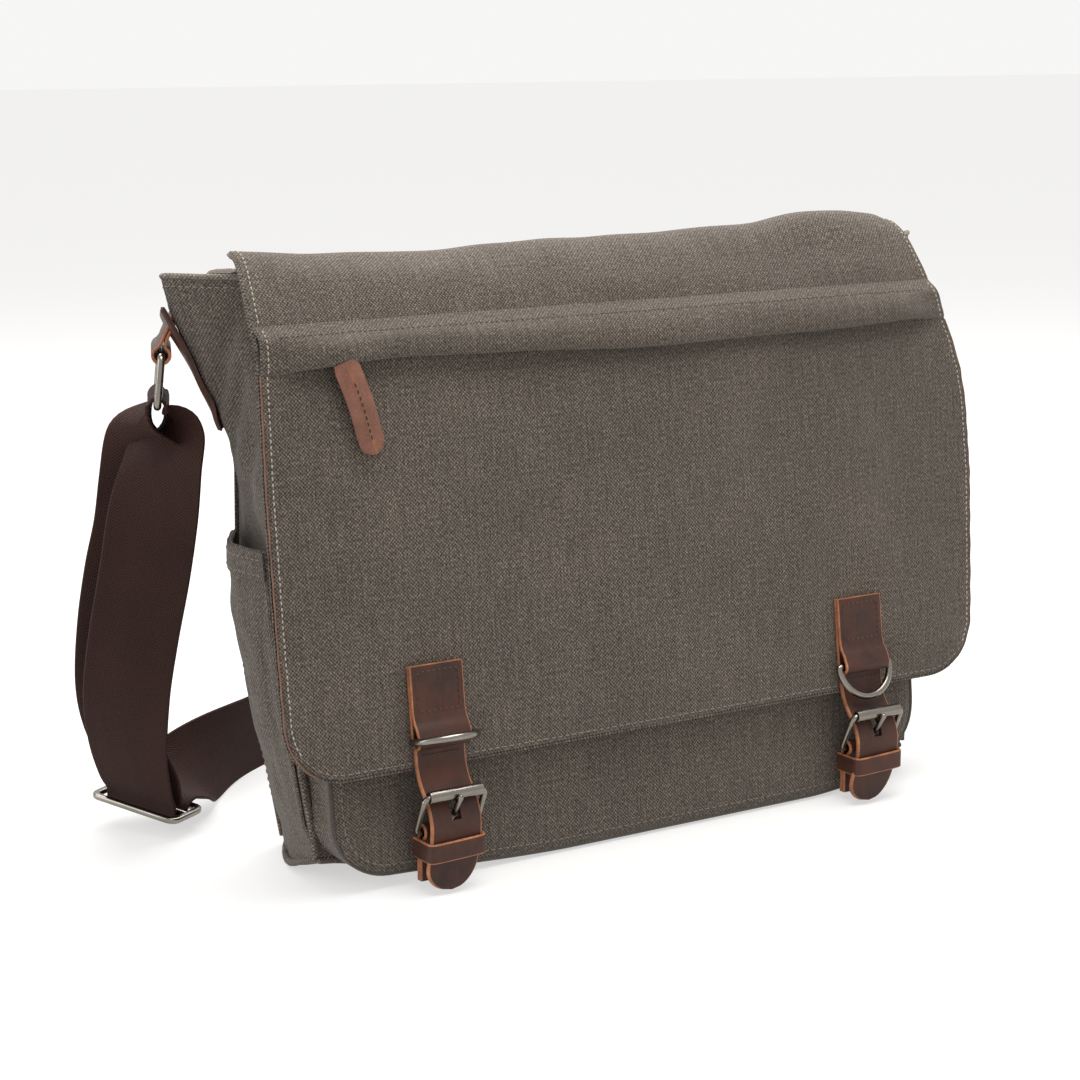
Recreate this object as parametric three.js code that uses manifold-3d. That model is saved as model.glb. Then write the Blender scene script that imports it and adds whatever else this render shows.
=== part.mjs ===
// Canvas messenger bag with a strapped flap, built from its sewn, cut and cast pieces.
// Millimetres. X runs along the width, -Y is the front, +Z is up. The origin lies on the
// surface that the bag stands on, halfway along the width and 8 in front of the back's foot.
import * as THREE from 'three';
import { mergeVertices } from 'three/addons/utils/BufferGeometryUtils.js';
import Module from 'manifold-3d';

const wasm = await Module();
wasm.setup();

// ---------------------------------------------------------------- driving dimensions
const GAP = 0.3; // clearance kept between pieces that touch
const CLOTH = 2; // outer canvas with its backing
const BASE_HALF_WIDTH = 158;
const TOP_HALF_WIDTH = 170;
const BASE_FRONT_Y = -50;
const BASE_BACK_Y = 8;
const RIM_FRONT_Y = -28;
const RIM_BACK_Y = 32;
const RIM_Z = 248;
const BASE_THICKNESS = 2.4;

const POCKET_HALF_WIDTH = 158;
const POCKET_TOP_Z = 195;
const POCKET_BOTTOM_Z = 2.4;
const POCKET_CORNER = 24;
const POCKET_FOOT_Y = -70;
const POCKET_SLOPE = 0.105;

const SIDE_POCKET_FOOT_Z = 12;
const SIDE_POCKET_TOP_Z = 140;

const FLAP_HALF_WIDTH = 180;
const FLAP_FOOT_Y = -72;
const FLAP_FOOT_Z = 51;
const FLAP_LEAN = Math.atan(20 / 166);
const FLAP_CORNER = 25;
const FLAP_TOP_INSET = 14; // the part on top of the bag is this much narrower each side
const FLAP_LOWER_LENGTH = 166;
const HINGE = new THREE.Vector2(36, 251);
const FOLD = new THREE.Vector2(-24, 264.6);

const TRACK_HALF = 160; // half the length of the zip's teeth
const SLIDER_X = -146;
const PULL_TILT = THREE.MathUtils.degToRad(18);

const STRAP_X = 112; // the two closing straps stand this far each side of the middle
const STRAP_WIDTH = 25.4;
const BILLET_WIDTH = 24;
const LEATHER = 2.2;
const HEEL = new THREE.Vector2(-77.5, 25); // heel bar of the buckle, as Y and Z
const ROLLER = new THREE.Vector2(-85.5, 42); // roller bar of the buckle, as Y and Z
const D_BAR = new THREE.Vector2(-4.2, 11.5); // straight side of the D-ring in the flap's frame
const D_RADIUS = 14.6;
const D_WIRE = 1.6;

const WEBBING_WIDTH = 38;
const WEBBING_THICKNESS = 1.6;
const RING_BAR = new THREE.Vector3(-190, 20, 219); // middle of the left ring's upper bar
const RING_ALONG = new THREE.Vector3(0.4, 0.9165, 0); // direction of the left ring's bars
const RING_OUT = new THREE.Vector3(-0.9165, 0.4, 0);
const RING_DROP = new THREE.Vector3(-2.4, 0, -21); // from the upper bar to the lower bar
const ADJUSTER = new THREE.Vector3(-185, 62, 11.5);
const ADJUSTER_LONG = new THREE.Vector3(0.489, -0.861, -0.135).normalize();
const ADJUSTER_SHORT = new THREE.Vector3(0.8696, 0.4938, 0);

// ---------------------------------------------------------------- materials
function material(color, roughness, metalness) {
  return new THREE.MeshStandardMaterial({ color, roughness, metalness });
}
const canvas = () => material(0x6b635a, 0.9, 0);
const liningCloth = () => material(0x4a4540, 0.85, 0);
const board = () => material(0x2e2b29, 0.8, 0);
const leather = () => material(0x4c2a1e, 0.5, 0);
const pullLeather = () => material(0x8a5a42, 0.6, 0);
const tapeCloth = () => material(0x2b2725, 0.8, 0);
const webbing = () => material(0x3d2721, 0.8, 0);
const metal = () => material(0x8f8c88, 0.3, 1);

// ---------------------------------------------------------------- solids
const bag = new THREE.Group();
const flapFrame = new THREE.Group(); // its XZ plane is the flap's outer face
flapFrame.position.set(0, FLAP_FOOT_Y, FLAP_FOOT_Z);
flapFrame.rotation.x = -FLAP_LEAN;
bag.add(flapFrame);

function place(name, geometry, surface, parent = bag) {
  const mesh = new THREE.Mesh(geometry, surface);
  mesh.name = name;
  parent.add(mesh);
  return mesh;
}

function toManifold(geometry) {
  const bare = geometry.clone();
  bare.deleteAttribute('normal');
  bare.deleteAttribute('uv');
  const merged = mergeVertices(bare, 1e-4);
  const vertProperties = new Float32Array(merged.attributes.position.array);
  const triVerts = new Uint32Array(merged.index.array);
  return new wasm.Manifold(new wasm.Mesh({ numProp: 3, vertProperties, triVerts }));
}

function toGeometry(manifold) {
  const mesh = manifold.getMesh();
  const geometry = new THREE.BufferGeometry();
  geometry.setAttribute('position', new THREE.BufferAttribute(mesh.vertProperties, 3));
  geometry.setIndex(new THREE.BufferAttribute(mesh.triVerts, 1));
  geometry.computeVertexNormals();
  return geometry;
}

function join(...geometries) {
  return toGeometry(geometries.map(toManifold).reduce((sum, next) => sum.add(next)));
}

function cut(geometry, ...tools) {
  return toGeometry(tools.map(toManifold).reduce((rest, tool) => rest.subtract(tool), toManifold(geometry)));
}

function box(x0, x1, y0, y1, z0, z1) {
  const geometry = new THREE.BoxGeometry(x1 - x0, y1 - y0, z1 - z0);
  return geometry.translate((x0 + x1) / 2, (y0 + y1) / 2, (z0 + z1) / 2);
}

// A rod along X, centred on x, at the given Y and Z.
function rodX(x, centre, radius, length, sides = 12) {
  const geometry = new THREE.CylinderGeometry(radius, radius, length, sides);
  return geometry.rotateZ(Math.PI / 2).translate(x, centre.x, centre.y);
}

// A disc facing along Y.
function discY(x, y, z, radius, thickness) {
  const geometry = new THREE.CylinderGeometry(radius, radius, thickness, 16);
  return geometry.translate(x, y, z);
}

function extrude(points, depth, holes = []) {
  const shape = new THREE.Shape(points);
  shape.holes = holes.map((hole) => new THREE.Path(hole));
  return new THREE.ExtrudeGeometry(shape, { depth, bevelEnabled: false, curveSegments: 6 });
}

// Outline given in Y and Z, extruded along X and centred on x.
function extrudeX(points, length, x = 0) {
  const basis = new THREE.Matrix4().makeBasis(
    new THREE.Vector3(0, 1, 0), new THREE.Vector3(0, 0, 1), new THREE.Vector3(1, 0, 0));
  return extrude(points, length).applyMatrix4(basis).translate(x - length / 2, 0, 0);
}

// Outline given in X and Z, extruded from y0 (front) back to y1.
function extrudeY(points, y0, y1, holes = []) {
  const basis = new THREE.Matrix4().makeBasis(
    new THREE.Vector3(1, 0, 0), new THREE.Vector3(0, 0, 1), new THREE.Vector3(0, -1, 0));
  return extrude(points, y1 - y0, holes).applyMatrix4(basis).translate(0, y1, 0);
}

function pairs(list) {
  return list.map(([a, b]) => new THREE.Vector2(a, b));
}

function rectangle(x0, x1, z0, z1) {
  return pairs([[x0, z0], [x1, z0], [x1, z1], [x0, z1]]);
}

// Open-topped outline with round bottom corners, from the top left round to the top right.
function pouchOutline(halfWidth, foot, top, corner, inset) {
  const half = halfWidth - inset;
  const radius = corner - inset;
  const low = foot + inset;
  const points = [new THREE.Vector2(-half, top)];
  for (let i = 0; i <= 6; i += 1) {
    const angle = Math.PI + (i / 6) * (Math.PI / 2);
    points.push(new THREE.Vector2(
      -half + radius + radius * Math.cos(angle), low + radius + radius * Math.sin(angle)));
  }
  return [...points, ...[...points].reverse().map((p) => new THREE.Vector2(-p.x, p.y))];
}

// Strip that follows the outline between two insets, as a gusset or an edging does.
function pouchStrip(halfWidth, foot, top, corner, outerInset, innerInset) {
  const outer = pouchOutline(halfWidth, foot, top, corner, outerInset);
  const inner = pouchOutline(halfWidth, foot, top, corner, innerInset);
  return [...outer, ...inner.reverse()];
}

// Moves every vertex of a geometry by a function of its position.
function reshape(geometry, move) {
  const position = geometry.attributes.position;
  const point = new THREE.Vector3();
  for (let i = 0; i < position.count; i += 1) {
    point.fromBufferAttribute(position, i);
    move(point);
    position.setXYZ(i, point.x, point.y, point.z);
  }
  geometry.computeVertexNormals();
  return geometry;
}

// A sheet whose outer face is face(u, v); its thickness goes along inward.
function sheet(face, inward, thickness, across, up) {
  return reshape(new THREE.BoxGeometry(1, 1, 1, across, up, 1), (point) => {
    const depth = (0.5 - point.z) * thickness;
    point.copy(face(point.x + 0.5, point.y + 0.5)).addScaledVector(inward, depth);
  });
}

// A flat band along a route: each stop is [x, y, z, width direction].
function band(stops, width, thickness, stepsPerStop, taper = () => 1) {
  const centres = new THREE.CatmullRomCurve3(stops.map((s) => new THREE.Vector3(s[0], s[1], s[2])));
  const sides = new THREE.CatmullRomCurve3(stops.map((s) => new THREE.Vector3(...s[3])));
  centres.curveType = 'catmullrom';
  sides.curveType = 'catmullrom';
  const steps = (stops.length - 1) * stepsPerStop;
  return reshape(new THREE.BoxGeometry(1, 1, 1, 1, 1, steps), (point) => {
    const t = point.z + 0.5;
    const along = centres.getTangent(t);
    const side = sides.getPoint(t);
    side.addScaledVector(along, -side.dot(along)).normalize();
    const normal = new THREE.Vector3().crossVectors(along, side);
    const across = point.x * width * taper(t);
    const through = point.y * thickness;
    point.copy(centres.getPoint(t)).addScaledVector(side, across).addScaledVector(normal, through);
  });
}

// Straight-line interpolation in a list of [z, value].
function profile(table, z) {
  let i = 1;
  while (i < table.length - 1 && z > table[i][0]) {
    i += 1;
  }
  const [z0, a] = table[i - 1];
  const [z1, b] = table[i];
  return THREE.MathUtils.lerp(a, b, THREE.MathUtils.clamp((z - z0) / (z1 - z0), 0, 1));
}

// ---------------------------------------------------------------- body of the bag
const frontY = (z) => THREE.MathUtils.lerp(BASE_FRONT_Y, RIM_FRONT_Y, z / RIM_Z);
const backY = (z) => THREE.MathUtils.lerp(BASE_BACK_Y, RIM_BACK_Y, z / RIM_Z);
const pocketY = (z) => POCKET_FOOT_Y + POCKET_SLOPE * z;

function frontHalfWidth(z) {
  const rise = Math.sin((Math.PI / 2) * Math.min(z / 200, 1));
  return BASE_HALF_WIDTH + (TOP_HALF_WIDTH - BASE_HALF_WIDTH) * rise;
}

// The back panel is narrower than the front one, most of all at the foot.
const BACK_HALF_WIDTH = [
  [0, 145], [33, 149.5], [79, 156.5], [97, 159.5], [140, 157], [166, 155],
  [195, 159.5], [207, 166], [219, 171], [234, 175], [248, 176]];
const backHalfWidth = (z) => profile(BACK_HALF_WIDTH, z);

// How far the middle of each side stands outside the line between its edges.
const GUSSET_BOW = [
  [0, -3], [140, -2], [166, 6.5], [195, 11], [207, 13], [219, 16], [234, 22], [248, 23.5]];
const SIDE_POCKET_BOW = [[12, 2], [33, 4], [79, 8], [110, 10], [140, 10.5]];

// A point on a side panel; s runs from -1 at the front seam to 1 at the back seam.
function sidePoint(side, s, z, bow, proud = 0) {
  const front = frontY(z) + CLOTH + GAP;
  const back = backY(z) - CLOTH - GAP;
  const backShare = (s + 1) / 2;
  const edge = THREE.MathUtils.lerp(frontHalfWidth(z), backHalfWidth(z), backShare);
  const x = edge + bow * (1 - Math.abs(s)) + proud;
  return new THREE.Vector3(side * x, THREE.MathUtils.lerp(front, back, backShare), z);
}

// u must run so that the sheet faces outwards: from the back on the left, the front on the right.
const seamPosition = (side, u) => side * (2 * u - 1);

// Outline of the base in X and Y, pulled in at the sides and at the front and back.
function baseOutline(sideInset, inset) {
  const front = BASE_HALF_WIDTH - sideInset;
  const back = backHalfWidth(0) - sideInset;
  return pairs([
    [-front, BASE_FRONT_Y + inset], [front, BASE_FRONT_Y + inset],
    [back, BASE_BACK_Y - inset], [-back, BASE_BACK_Y - inset]]);
}

function buildShell() {
  const foot = BASE_THICKNESS + GAP;
  const panelZ = (v) => foot + v * (RIM_Z - 2 - foot);
  const panel = (half, planeY) => (u, v) => {
    const z = panelZ(v);
    return new THREE.Vector3((2 * u - 1) * half(z), planeY(z), z);
  };
  const backwards = new THREE.Vector3(0, 1, 0);
  const forwards = new THREE.Vector3(0, -1, 0);
  place('front_panel', sheet(panel(frontHalfWidth, frontY), backwards, CLOTH, 1, 5), canvas());
  const mirroredBack = panel((z) => -backHalfWidth(z), backY);
  place('back_panel', sheet(mirroredBack, forwards, CLOTH, 1, 16), canvas());
  place('base_panel', extrude(baseOutline(3, 0), BASE_THICKNESS), canvas());
  for (const [label, side] of [['left', -1], ['right', 1]]) {
    const face = (u, v) => sidePoint(side, seamPosition(side, u), panelZ(v), profile(GUSSET_BOW, panelZ(v)));
    place(`${label}_gusset`, sheet(face, new THREE.Vector3(-side, 0, 0), CLOTH, 2, 24), canvas());
  }
}

// Tapered block between the panels, from z0 to z1, pulled in by an inset on every side.
function innerBlock(z0, z1, inset) {
  const sideRoom = 12;
  return reshape(new THREE.BoxGeometry(2, 1, 1, 1, 1, 10), (point) => {
    const z = z0 + (point.z + 0.5) * (z1 - z0);
    const backShare = point.y + 0.5;
    const front = frontY(z) + CLOTH + 0.5 + inset;
    const back = backY(z) - CLOTH - 0.5 - inset;
    const edge = THREE.MathUtils.lerp(frontHalfWidth(z), backHalfWidth(z), backShare);
    point.set(point.x * (edge - sideRoom - inset), THREE.MathUtils.lerp(front, back, backShare), z);
  });
}

function buildInside() {
  const liningFoot = 5.7;
  const liningTop = 232;
  const liningThickness = 0.8;
  const boardFoot = BASE_THICKNESS + GAP;
  const stiffener = extrude(baseOutline(9, 5), liningFoot - GAP - boardFoot);
  place('base_board', stiffener.translate(0, 0, boardFoot), board());
  place('lining', cut(innerBlock(liningFoot, liningTop, 0),
    innerBlock(liningFoot + liningThickness, liningTop + 5, liningThickness)), liningCloth());
  const dividerThickness = 5;
  const laptopRoom = 13;
  const dividerY = (z) => backY(z) - CLOTH - 1.3 - laptopRoom - dividerThickness;
  const dividerZ = (v) => 8 + v * 207;
  const dividerFace = (u, v) => new THREE.Vector3((2 * u - 1) * 133, dividerY(dividerZ(v)), dividerZ(v));
  const backwards = new THREE.Vector3(0, 1, 0);
  place('sleeve_divider', sheet(dividerFace, backwards, dividerThickness, 1, 1), liningCloth());
  const rimLoop = (grow) => pairs([
    [-167 - grow, -25.8 - grow], [167 + grow, -25.8 - grow], [189 + grow, 0],
    [172 + grow, 28.1 + grow], [-172 - grow, 28.1 + grow], [-189 - grow, 0]]);
  place('rim_facing', extrude(rimLoop(0), 11, [rimLoop(-1.4)]).translate(0, 0, 234), liningCloth());
}

function buildFrontPocket() {
  const outline = [POCKET_HALF_WIDTH, POCKET_BOTTOM_Z, POCKET_TOP_Z, POCKET_CORNER];
  const lean = (point) => {
    point.y += POCKET_SLOPE * point.z;
  };
  const face = extrudeY(pouchOutline(...outline, 0), POCKET_FOOT_Y, POCKET_FOOT_Y + 1.8);
  place('front_pocket_face', reshape(face, lean), canvas());
  const edging = extrudeY(pouchStrip(...outline, -1.9, -GAP), POCKET_FOOT_Y - 0.5, POCKET_FOOT_Y + 1.9);
  place('front_pocket_piping', reshape(edging, lean), tapeCloth());
  const gusset = extrudeY(pouchStrip(...outline, 0, 1.6), 0, 1);
  place('front_pocket_gusset', reshape(gusset, (point) => {
    const near = pocketY(point.z) + 2.1;
    const far = frontY(point.z) - GAP;
    point.y = THREE.MathUtils.lerp(near, far, point.y);
  }), canvas());
}

function buildSide(label, side) {
  const reach = 0.94; // the pocket stops just short of both seams
  const pocketZ = (v) => SIDE_POCKET_FOOT_Z + v * (SIDE_POCKET_TOP_Z - SIDE_POCKET_FOOT_Z);
  const pocketPoint = (u, z, proud) => sidePoint(
    side, reach * seamPosition(side, u), z, profile(SIDE_POCKET_BOW, z), 1.6 + GAP + proud);
  const inward = new THREE.Vector3(-side, 0, 0);
  place(`side_pocket_${label}`, sheet((u, v) => pocketPoint(u, pocketZ(v), 0), inward, 1.6, 2, 8), canvas());
  const hemZ = (v) => SIDE_POCKET_TOP_Z - 11 + v * 10.6;
  place(`side_pocket_hem_${label}`, sheet((u, v) => pocketPoint(u, hemZ(v), 2), inward, 1, 2, 1), canvas());
  const tabZ = (v) => 184 + v * 27;
  const tabFace = (u, v) => {
    const s = seamPosition(side, u) * 0.4 + 0.45;
    return sidePoint(side, s, tabZ(v), profile(GUSSET_BOW, tabZ(v)), LEATHER + 1.8);
  };
  place(`side_tab_${label}`, sheet(tabFace, inward, LEATHER, 1, 3), leather());
}

// ---------------------------------------------------------------- flap
// The flap's top dips between the gussets behind its front ridge, as slack cloth does.
function buildFlapTop() {
  const start = FOLD.x + 3.7; // clear of the mitred end of the flap's front
  const rear = HINGE.x - GAP;
  const outline = pairs([
    [start, 263.6], [start, 260.2], [-1, 249.8], [rear, 247.6], [rear, 250.8], [0, 252.8]]);
  place('flap_top_panel', extrudeX(outline, 2 * (FLAP_HALF_WIDTH - FLAP_TOP_INSET)), canvas());
}

function buildFlapFront() {
  const outline = [FLAP_HALF_WIDTH, 0, FLAP_LOWER_LENGTH, FLAP_CORNER];
  const lower = extrudeY(pouchOutline(...outline, 0), 0, 1.6);
  place('flap_lower_panel', lower, canvas(), flapFrame);
  const pouch = extrudeY(pouchOutline(FLAP_HALF_WIDTH - 12, 22, 170, 20, 0), 1.9, 2.7);
  place('zip_pocket_bag', pouch, liningCloth(), flapFrame);
  const backing = extrudeY(pouchOutline(FLAP_HALF_WIDTH, 0, 172, FLAP_CORNER, 0.8), 3, 3.8);
  place('flap_backing', backing, liningCloth(), flapFrame);
  const edging = extrudeY(pouchStrip(...outline, -1.5, -GAP), -0.3, 3.8);
  place('flap_edge_binding', edging, leather(), flapFrame);
  const upper = pairs([
    [1.9, 176.3], [3.3, 181.7], [10.3, 198.7], [21.8, 217.2],
    [24.8, 215.3], [13.7, 197.1], [6.8, 180.4], [5.6, 176.3]]);
  place('flap_upper_panel', extrudeX(upper.reverse(), 2 * FLAP_HALF_WIDTH), canvas(), flapFrame);
  const welt = pairs([
    [-5.2, 169], [-5.1, 176], [1.9, 186], [3.3, 185.3], [-3.5, 175.3], [-3.6, 169]]);
  place('welt', extrudeX(welt.reverse(), 2 * FLAP_HALF_WIDTH - 4), canvas(), flapFrame);
}

function buildZip() {
  place('zip_tape', box(-170, 170, 0.1, 0.9, FLAP_LOWER_LENGTH + 0.4, 175.8), tapeCloth(), flapFrame);
  place('zip_teeth', box(-TRACK_HALF, TRACK_HALF, -1.2, -0.2, 167, 170.2), metal(), flapFrame);
  for (const [label, side] of [['left', -1], ['right', 1]]) {
    const near = side * (TRACK_HALF + GAP);
    const far = side * (TRACK_HALF + GAP + 2);
    const stop = box(Math.min(near, far), Math.max(near, far), -1.5, -0.2, 166.4, 170.8);
    place(`zip_stop_${label}`, stop, metal(), flapFrame);
  }
  const pivot = new THREE.Vector2(-5.6, 166.5);
  const channel = pairs([
    [-3.2, 163.9], [-0.2, 163.9], [-0.2, 166.6], [-1.5, 166.6],
    [-1.5, 170.6], [-0.2, 170.6], [-0.2, 173.4], [-3.2, 173.4]]);
  const lug = box(SLIDER_X - 1, SLIDER_X + 1, -7.7, -3, 164.4, 168.6);
  const body = join(extrudeX(channel, 10, SLIDER_X), lug);
  place('zip_slider', cut(body, rodX(SLIDER_X, pivot, 1.6, 6)), metal(), flapFrame);

  const pull = new THREE.Group(); // swings on the slider's lug, tipped a little sideways
  pull.position.set(SLIDER_X, pivot.x, pivot.y);
  pull.rotation.y = -PULL_TILT;
  flapFrame.add(pull);
  const bail = extrudeY(rectangle(-4.7, 4.7, -7.6, 0.5), -0.5, 0.5, [rectangle(-3.4, 3.4, -6.6, -0.5)]);
  place('pull_bail', bail, metal(), pull);
  const tip = [];
  for (let i = 0; i <= 8; i += 1) {
    const angle = Math.PI + (i / 8) * Math.PI;
    tip.push(new THREE.Vector2(6 * Math.cos(angle), -36 + 6 * Math.sin(angle)));
  }
  const neck = pairs([[6, -11], [2.9, -9], [2.9, -4.6], [-2.9, -4.6], [-2.9, -9], [-6, -11]]);
  const tongue = extrudeY([...tip, ...neck], -1.5, 1.5);
  place('zip_pull', cut(tongue, rodX(0, new THREE.Vector2(0, -7.1), 0.9, 14)), pullLeather(), pull);
}

// ---------------------------------------------------------------- closing straps
function buildTab(label, x) {
  const half = STRAP_WIDTH / 2;
  const loop = rodX(x, D_BAR, 3.9, STRAP_WIDTH - 0.8, 16);
  const flat = box(x - half, x + half, -3.7, -GAP, D_BAR.y + 4, 42.5);
  const waist = box(x - half + 0.4, x + half - 0.4, -3.7, -GAP, D_BAR.y, D_BAR.y + 5);
  const tab = cut(join(flat, waist, loop), rodX(x, D_BAR, 1.95, STRAP_WIDTH + 4));
  place(`strap_tab_${label}`, tab, leather(), flapFrame);
}

// The D hangs towards -Z from its straight bar and is then swung outwards by angle.
function buildDRing(label, x, angle) {
  const round = new THREE.TorusGeometry(D_RADIUS, D_WIRE, 8, 24).rotateX(Math.PI / 2);
  const bow = cut(round, box(-20, 20, -3, 3, 0, 20));
  const bar = rodX(0, new THREE.Vector2(0, 0), D_WIRE, 2 * (D_RADIUS + D_WIRE), 12);
  const ring = place(`d_ring_${label}`, join(bow, bar), metal(), flapFrame);
  ring.position.set(x, D_BAR.x, D_BAR.y);
  ring.rotation.x = -angle;
}

function buildBillet(label, x) {
  const route = [
    [-72.6, 58.2], [-73.6, 51], [-76, 45.5], [-80.4, 40.2], [-83.8, 35],
    [-85.3, 29.5], [-85.2, 22], [-84.8, 12], [-84.5, 6], [-84.4, 1.6]];
  const across = [1, 0, 0];
  const tip = (t) => (t > 0.9 ? Math.sqrt(1 - ((t - 0.9) / 0.14) ** 2) : 1);
  const strip = band(route.map(([y, z]) => [x, y, z, across]), BILLET_WIDTH, LEATHER, 2, tip);
  const hole = new THREE.BoxGeometry(4.4, 9, 9.5).rotateX(THREE.MathUtils.degToRad(25));
  hole.translate(x, -83.7, 34.6);
  place(`billet_${label}`, cut(strip, hole), leather());
}

function buildChape(label, x) {
  const half = BILLET_WIDTH / 2;
  const loop = rodX(x, HEEL, 3.8, BILLET_WIDTH, 16);
  const tail = box(x - half, x + half, -76.9, -73.3, 4, HEEL.y);
  const prongSlot = box(x - 2.7, x + 2.7, -90, -73, HEEL.y - 3.5, HEEL.y + 6);
  place(`chape_${label}`, cut(join(loop, tail), rodX(x, HEEL, 1.95, 30), prongSlot), leather());
}

function buildKeeper(label, x) {
  const outer = BILLET_WIDTH / 2 + 2.2;
  const inner = BILLET_WIDTH / 2 + 0.6;
  const channel = pairs([
    [-outer, -88.4], [outer, -88.4], [outer, -73.6], [inner, -73.6],
    [inner, -86.8], [-inner, -86.8], [-inner, -73.6], [-outer, -73.6]]);
  place(`keeper_${label}`, extrude(channel, 10).translate(x, 0, 13), leather());
}

function buildBuckle(label, x) {
  const reach = HEEL.distanceTo(ROLLER);
  const tilt = Math.atan2(HEEL.x - ROLLER.x, ROLLER.y - HEEL.y);
  const stand = new THREE.Group(); // its Z axis runs from the heel bar to the roller
  stand.position.set(x, HEEL.x, HEEL.y);
  stand.rotation.x = tilt;
  bag.add(stand);
  const opening = rectangle(-13, 13, 1.1, reach - 1.1);
  const frame = extrudeY(rectangle(-15.7, 15.7, -1.1, reach + 1.1), -1.1, 1.1, [opening]);
  place(`buckle_frame_${label}`, frame, metal(), stand);
  const top = new THREE.Vector2(0, reach);
  const roller = cut(rodX(0, top, 2.6, 25.2, 16), rodX(0, top, 1.8, 30, 16));
  place(`roller_${label}`, roller, metal(), stand);
  const prongTurn = Math.asin(4.1 / reach);
  const origin = new THREE.Vector2(0, 0);
  const shank = new THREE.CylinderGeometry(1, 1.2, 18.6, 8).rotateX(Math.PI / 2).translate(0, 0, 11.3);
  const prong = place(`prong_${label}`,
    cut(join(rodX(0, origin, 2.9, 4.2, 16), shank), rodX(0, origin, 1.8, 9, 16)), metal(), stand);
  prong.rotation.x = prongTurn;
}

function buildClosingStraps() {
  const outwardSwing = { left: 105.5, right: 20 };
  for (const [label, side] of [['left', -1], ['right', 1]]) {
    const x = side * STRAP_X;
    buildTab(label, x);
    buildDRing(label, x, THREE.MathUtils.degToRad(outwardSwing[label]) - FLAP_LEAN);
    buildBillet(label, x);
    buildChape(label, x);
    buildKeeper(label, x);
    buildBuckle(label, x);
    place(`snap_stud_${label}`, discY(x, -72.25, 12, 6, 1.5), metal());
    place(`snap_socket_${label}`, discY(x, -70.45, 12, 6.5, 1.5), metal());
  }
}

// ---------------------------------------------------------------- shoulder strap
const mirrored = (v, side) => new THREE.Vector3(side < 0 ? v.x : -v.x, v.y, v.z);

// Basis whose X runs along the ring's bars, Z opposite to the drop, Y across the ring's plane.
function ringBasis(side) {
  const along = mirrored(RING_ALONG, side).multiplyScalar(side < 0 ? -1 : 1);
  const up = mirrored(RING_DROP, side).negate().normalize();
  const through = new THREE.Vector3().crossVectors(up, along).normalize();
  const squareUp = new THREE.Vector3().crossVectors(along, through);
  return new THREE.Matrix4().makeBasis(along, through, squareUp).setPosition(mirrored(RING_BAR, side));
}

function buildRing(label, side) {
  const drop = RING_DROP.length();
  const bar = 1.6;
  const inside = WEBBING_WIDTH / 2 + 1;
  const opening = rectangle(-inside, inside, bar - drop, -bar);
  const frame = extrudeY(rectangle(-inside - 3.2, inside + 3.2, -bar - drop, bar), -bar, bar, [opening]);
  place(`strap_ring_${label}`, frame.applyMatrix4(ringBasis(side)), metal());
  const centre = new THREE.Vector2(0, 0);
  const sleeve = rodX(0, centre, 4.2, WEBBING_WIDTH - 1, 14);
  const crest = box(1 - WEBBING_WIDTH / 2, WEBBING_WIDTH / 2 - 1, -1.6, 1.6, 0, 11);
  const loop = cut(join(sleeve, crest), rodX(0, centre, 2.7, 50, 14));
  place(`ring_loop_${label}`, loop.applyMatrix4(ringBasis(side)), leather());
}

function buildAdjuster() {
  const slot = (q) => rectangle(-20, 20, q - 3.4, q + 3.4);
  const plate = extrude(rectangle(-23.5, 23.5, -12, 12), 3, [slot(-5.1), slot(5.1)]);
  const up = new THREE.Vector3().crossVectors(ADJUSTER_LONG, ADJUSTER_SHORT);
  const basis = new THREE.Matrix4().makeBasis(ADJUSTER_LONG, ADJUSTER_SHORT, up).setPosition(ADJUSTER);
  place('strap_adjuster', plate.translate(0, 0, -1.5).applyMatrix4(basis), metal());
}

// Offsets from the adjuster's middle, along its short side and upwards.
function atAdjuster(short, up) {
  const above = new THREE.Vector3().crossVectors(ADJUSTER_LONG, ADJUSTER_SHORT);
  const p = ADJUSTER.clone().addScaledVector(ADJUSTER_SHORT, short).addScaledVector(above, up);
  return [p.x, p.y, p.z, ADJUSTER_LONG.toArray()];
}

// Offsets from the middle of a ring's lower bar, outwards and upwards.
function atRing(side, out, up) {
  const p = mirrored(RING_BAR, side).add(mirrored(RING_DROP, side));
  p.addScaledVector(mirrored(RING_OUT, side), out);
  p.z += up;
  return [p.x, p.y, p.z, mirrored(RING_ALONG, side).negate().toArray()];
}

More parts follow.
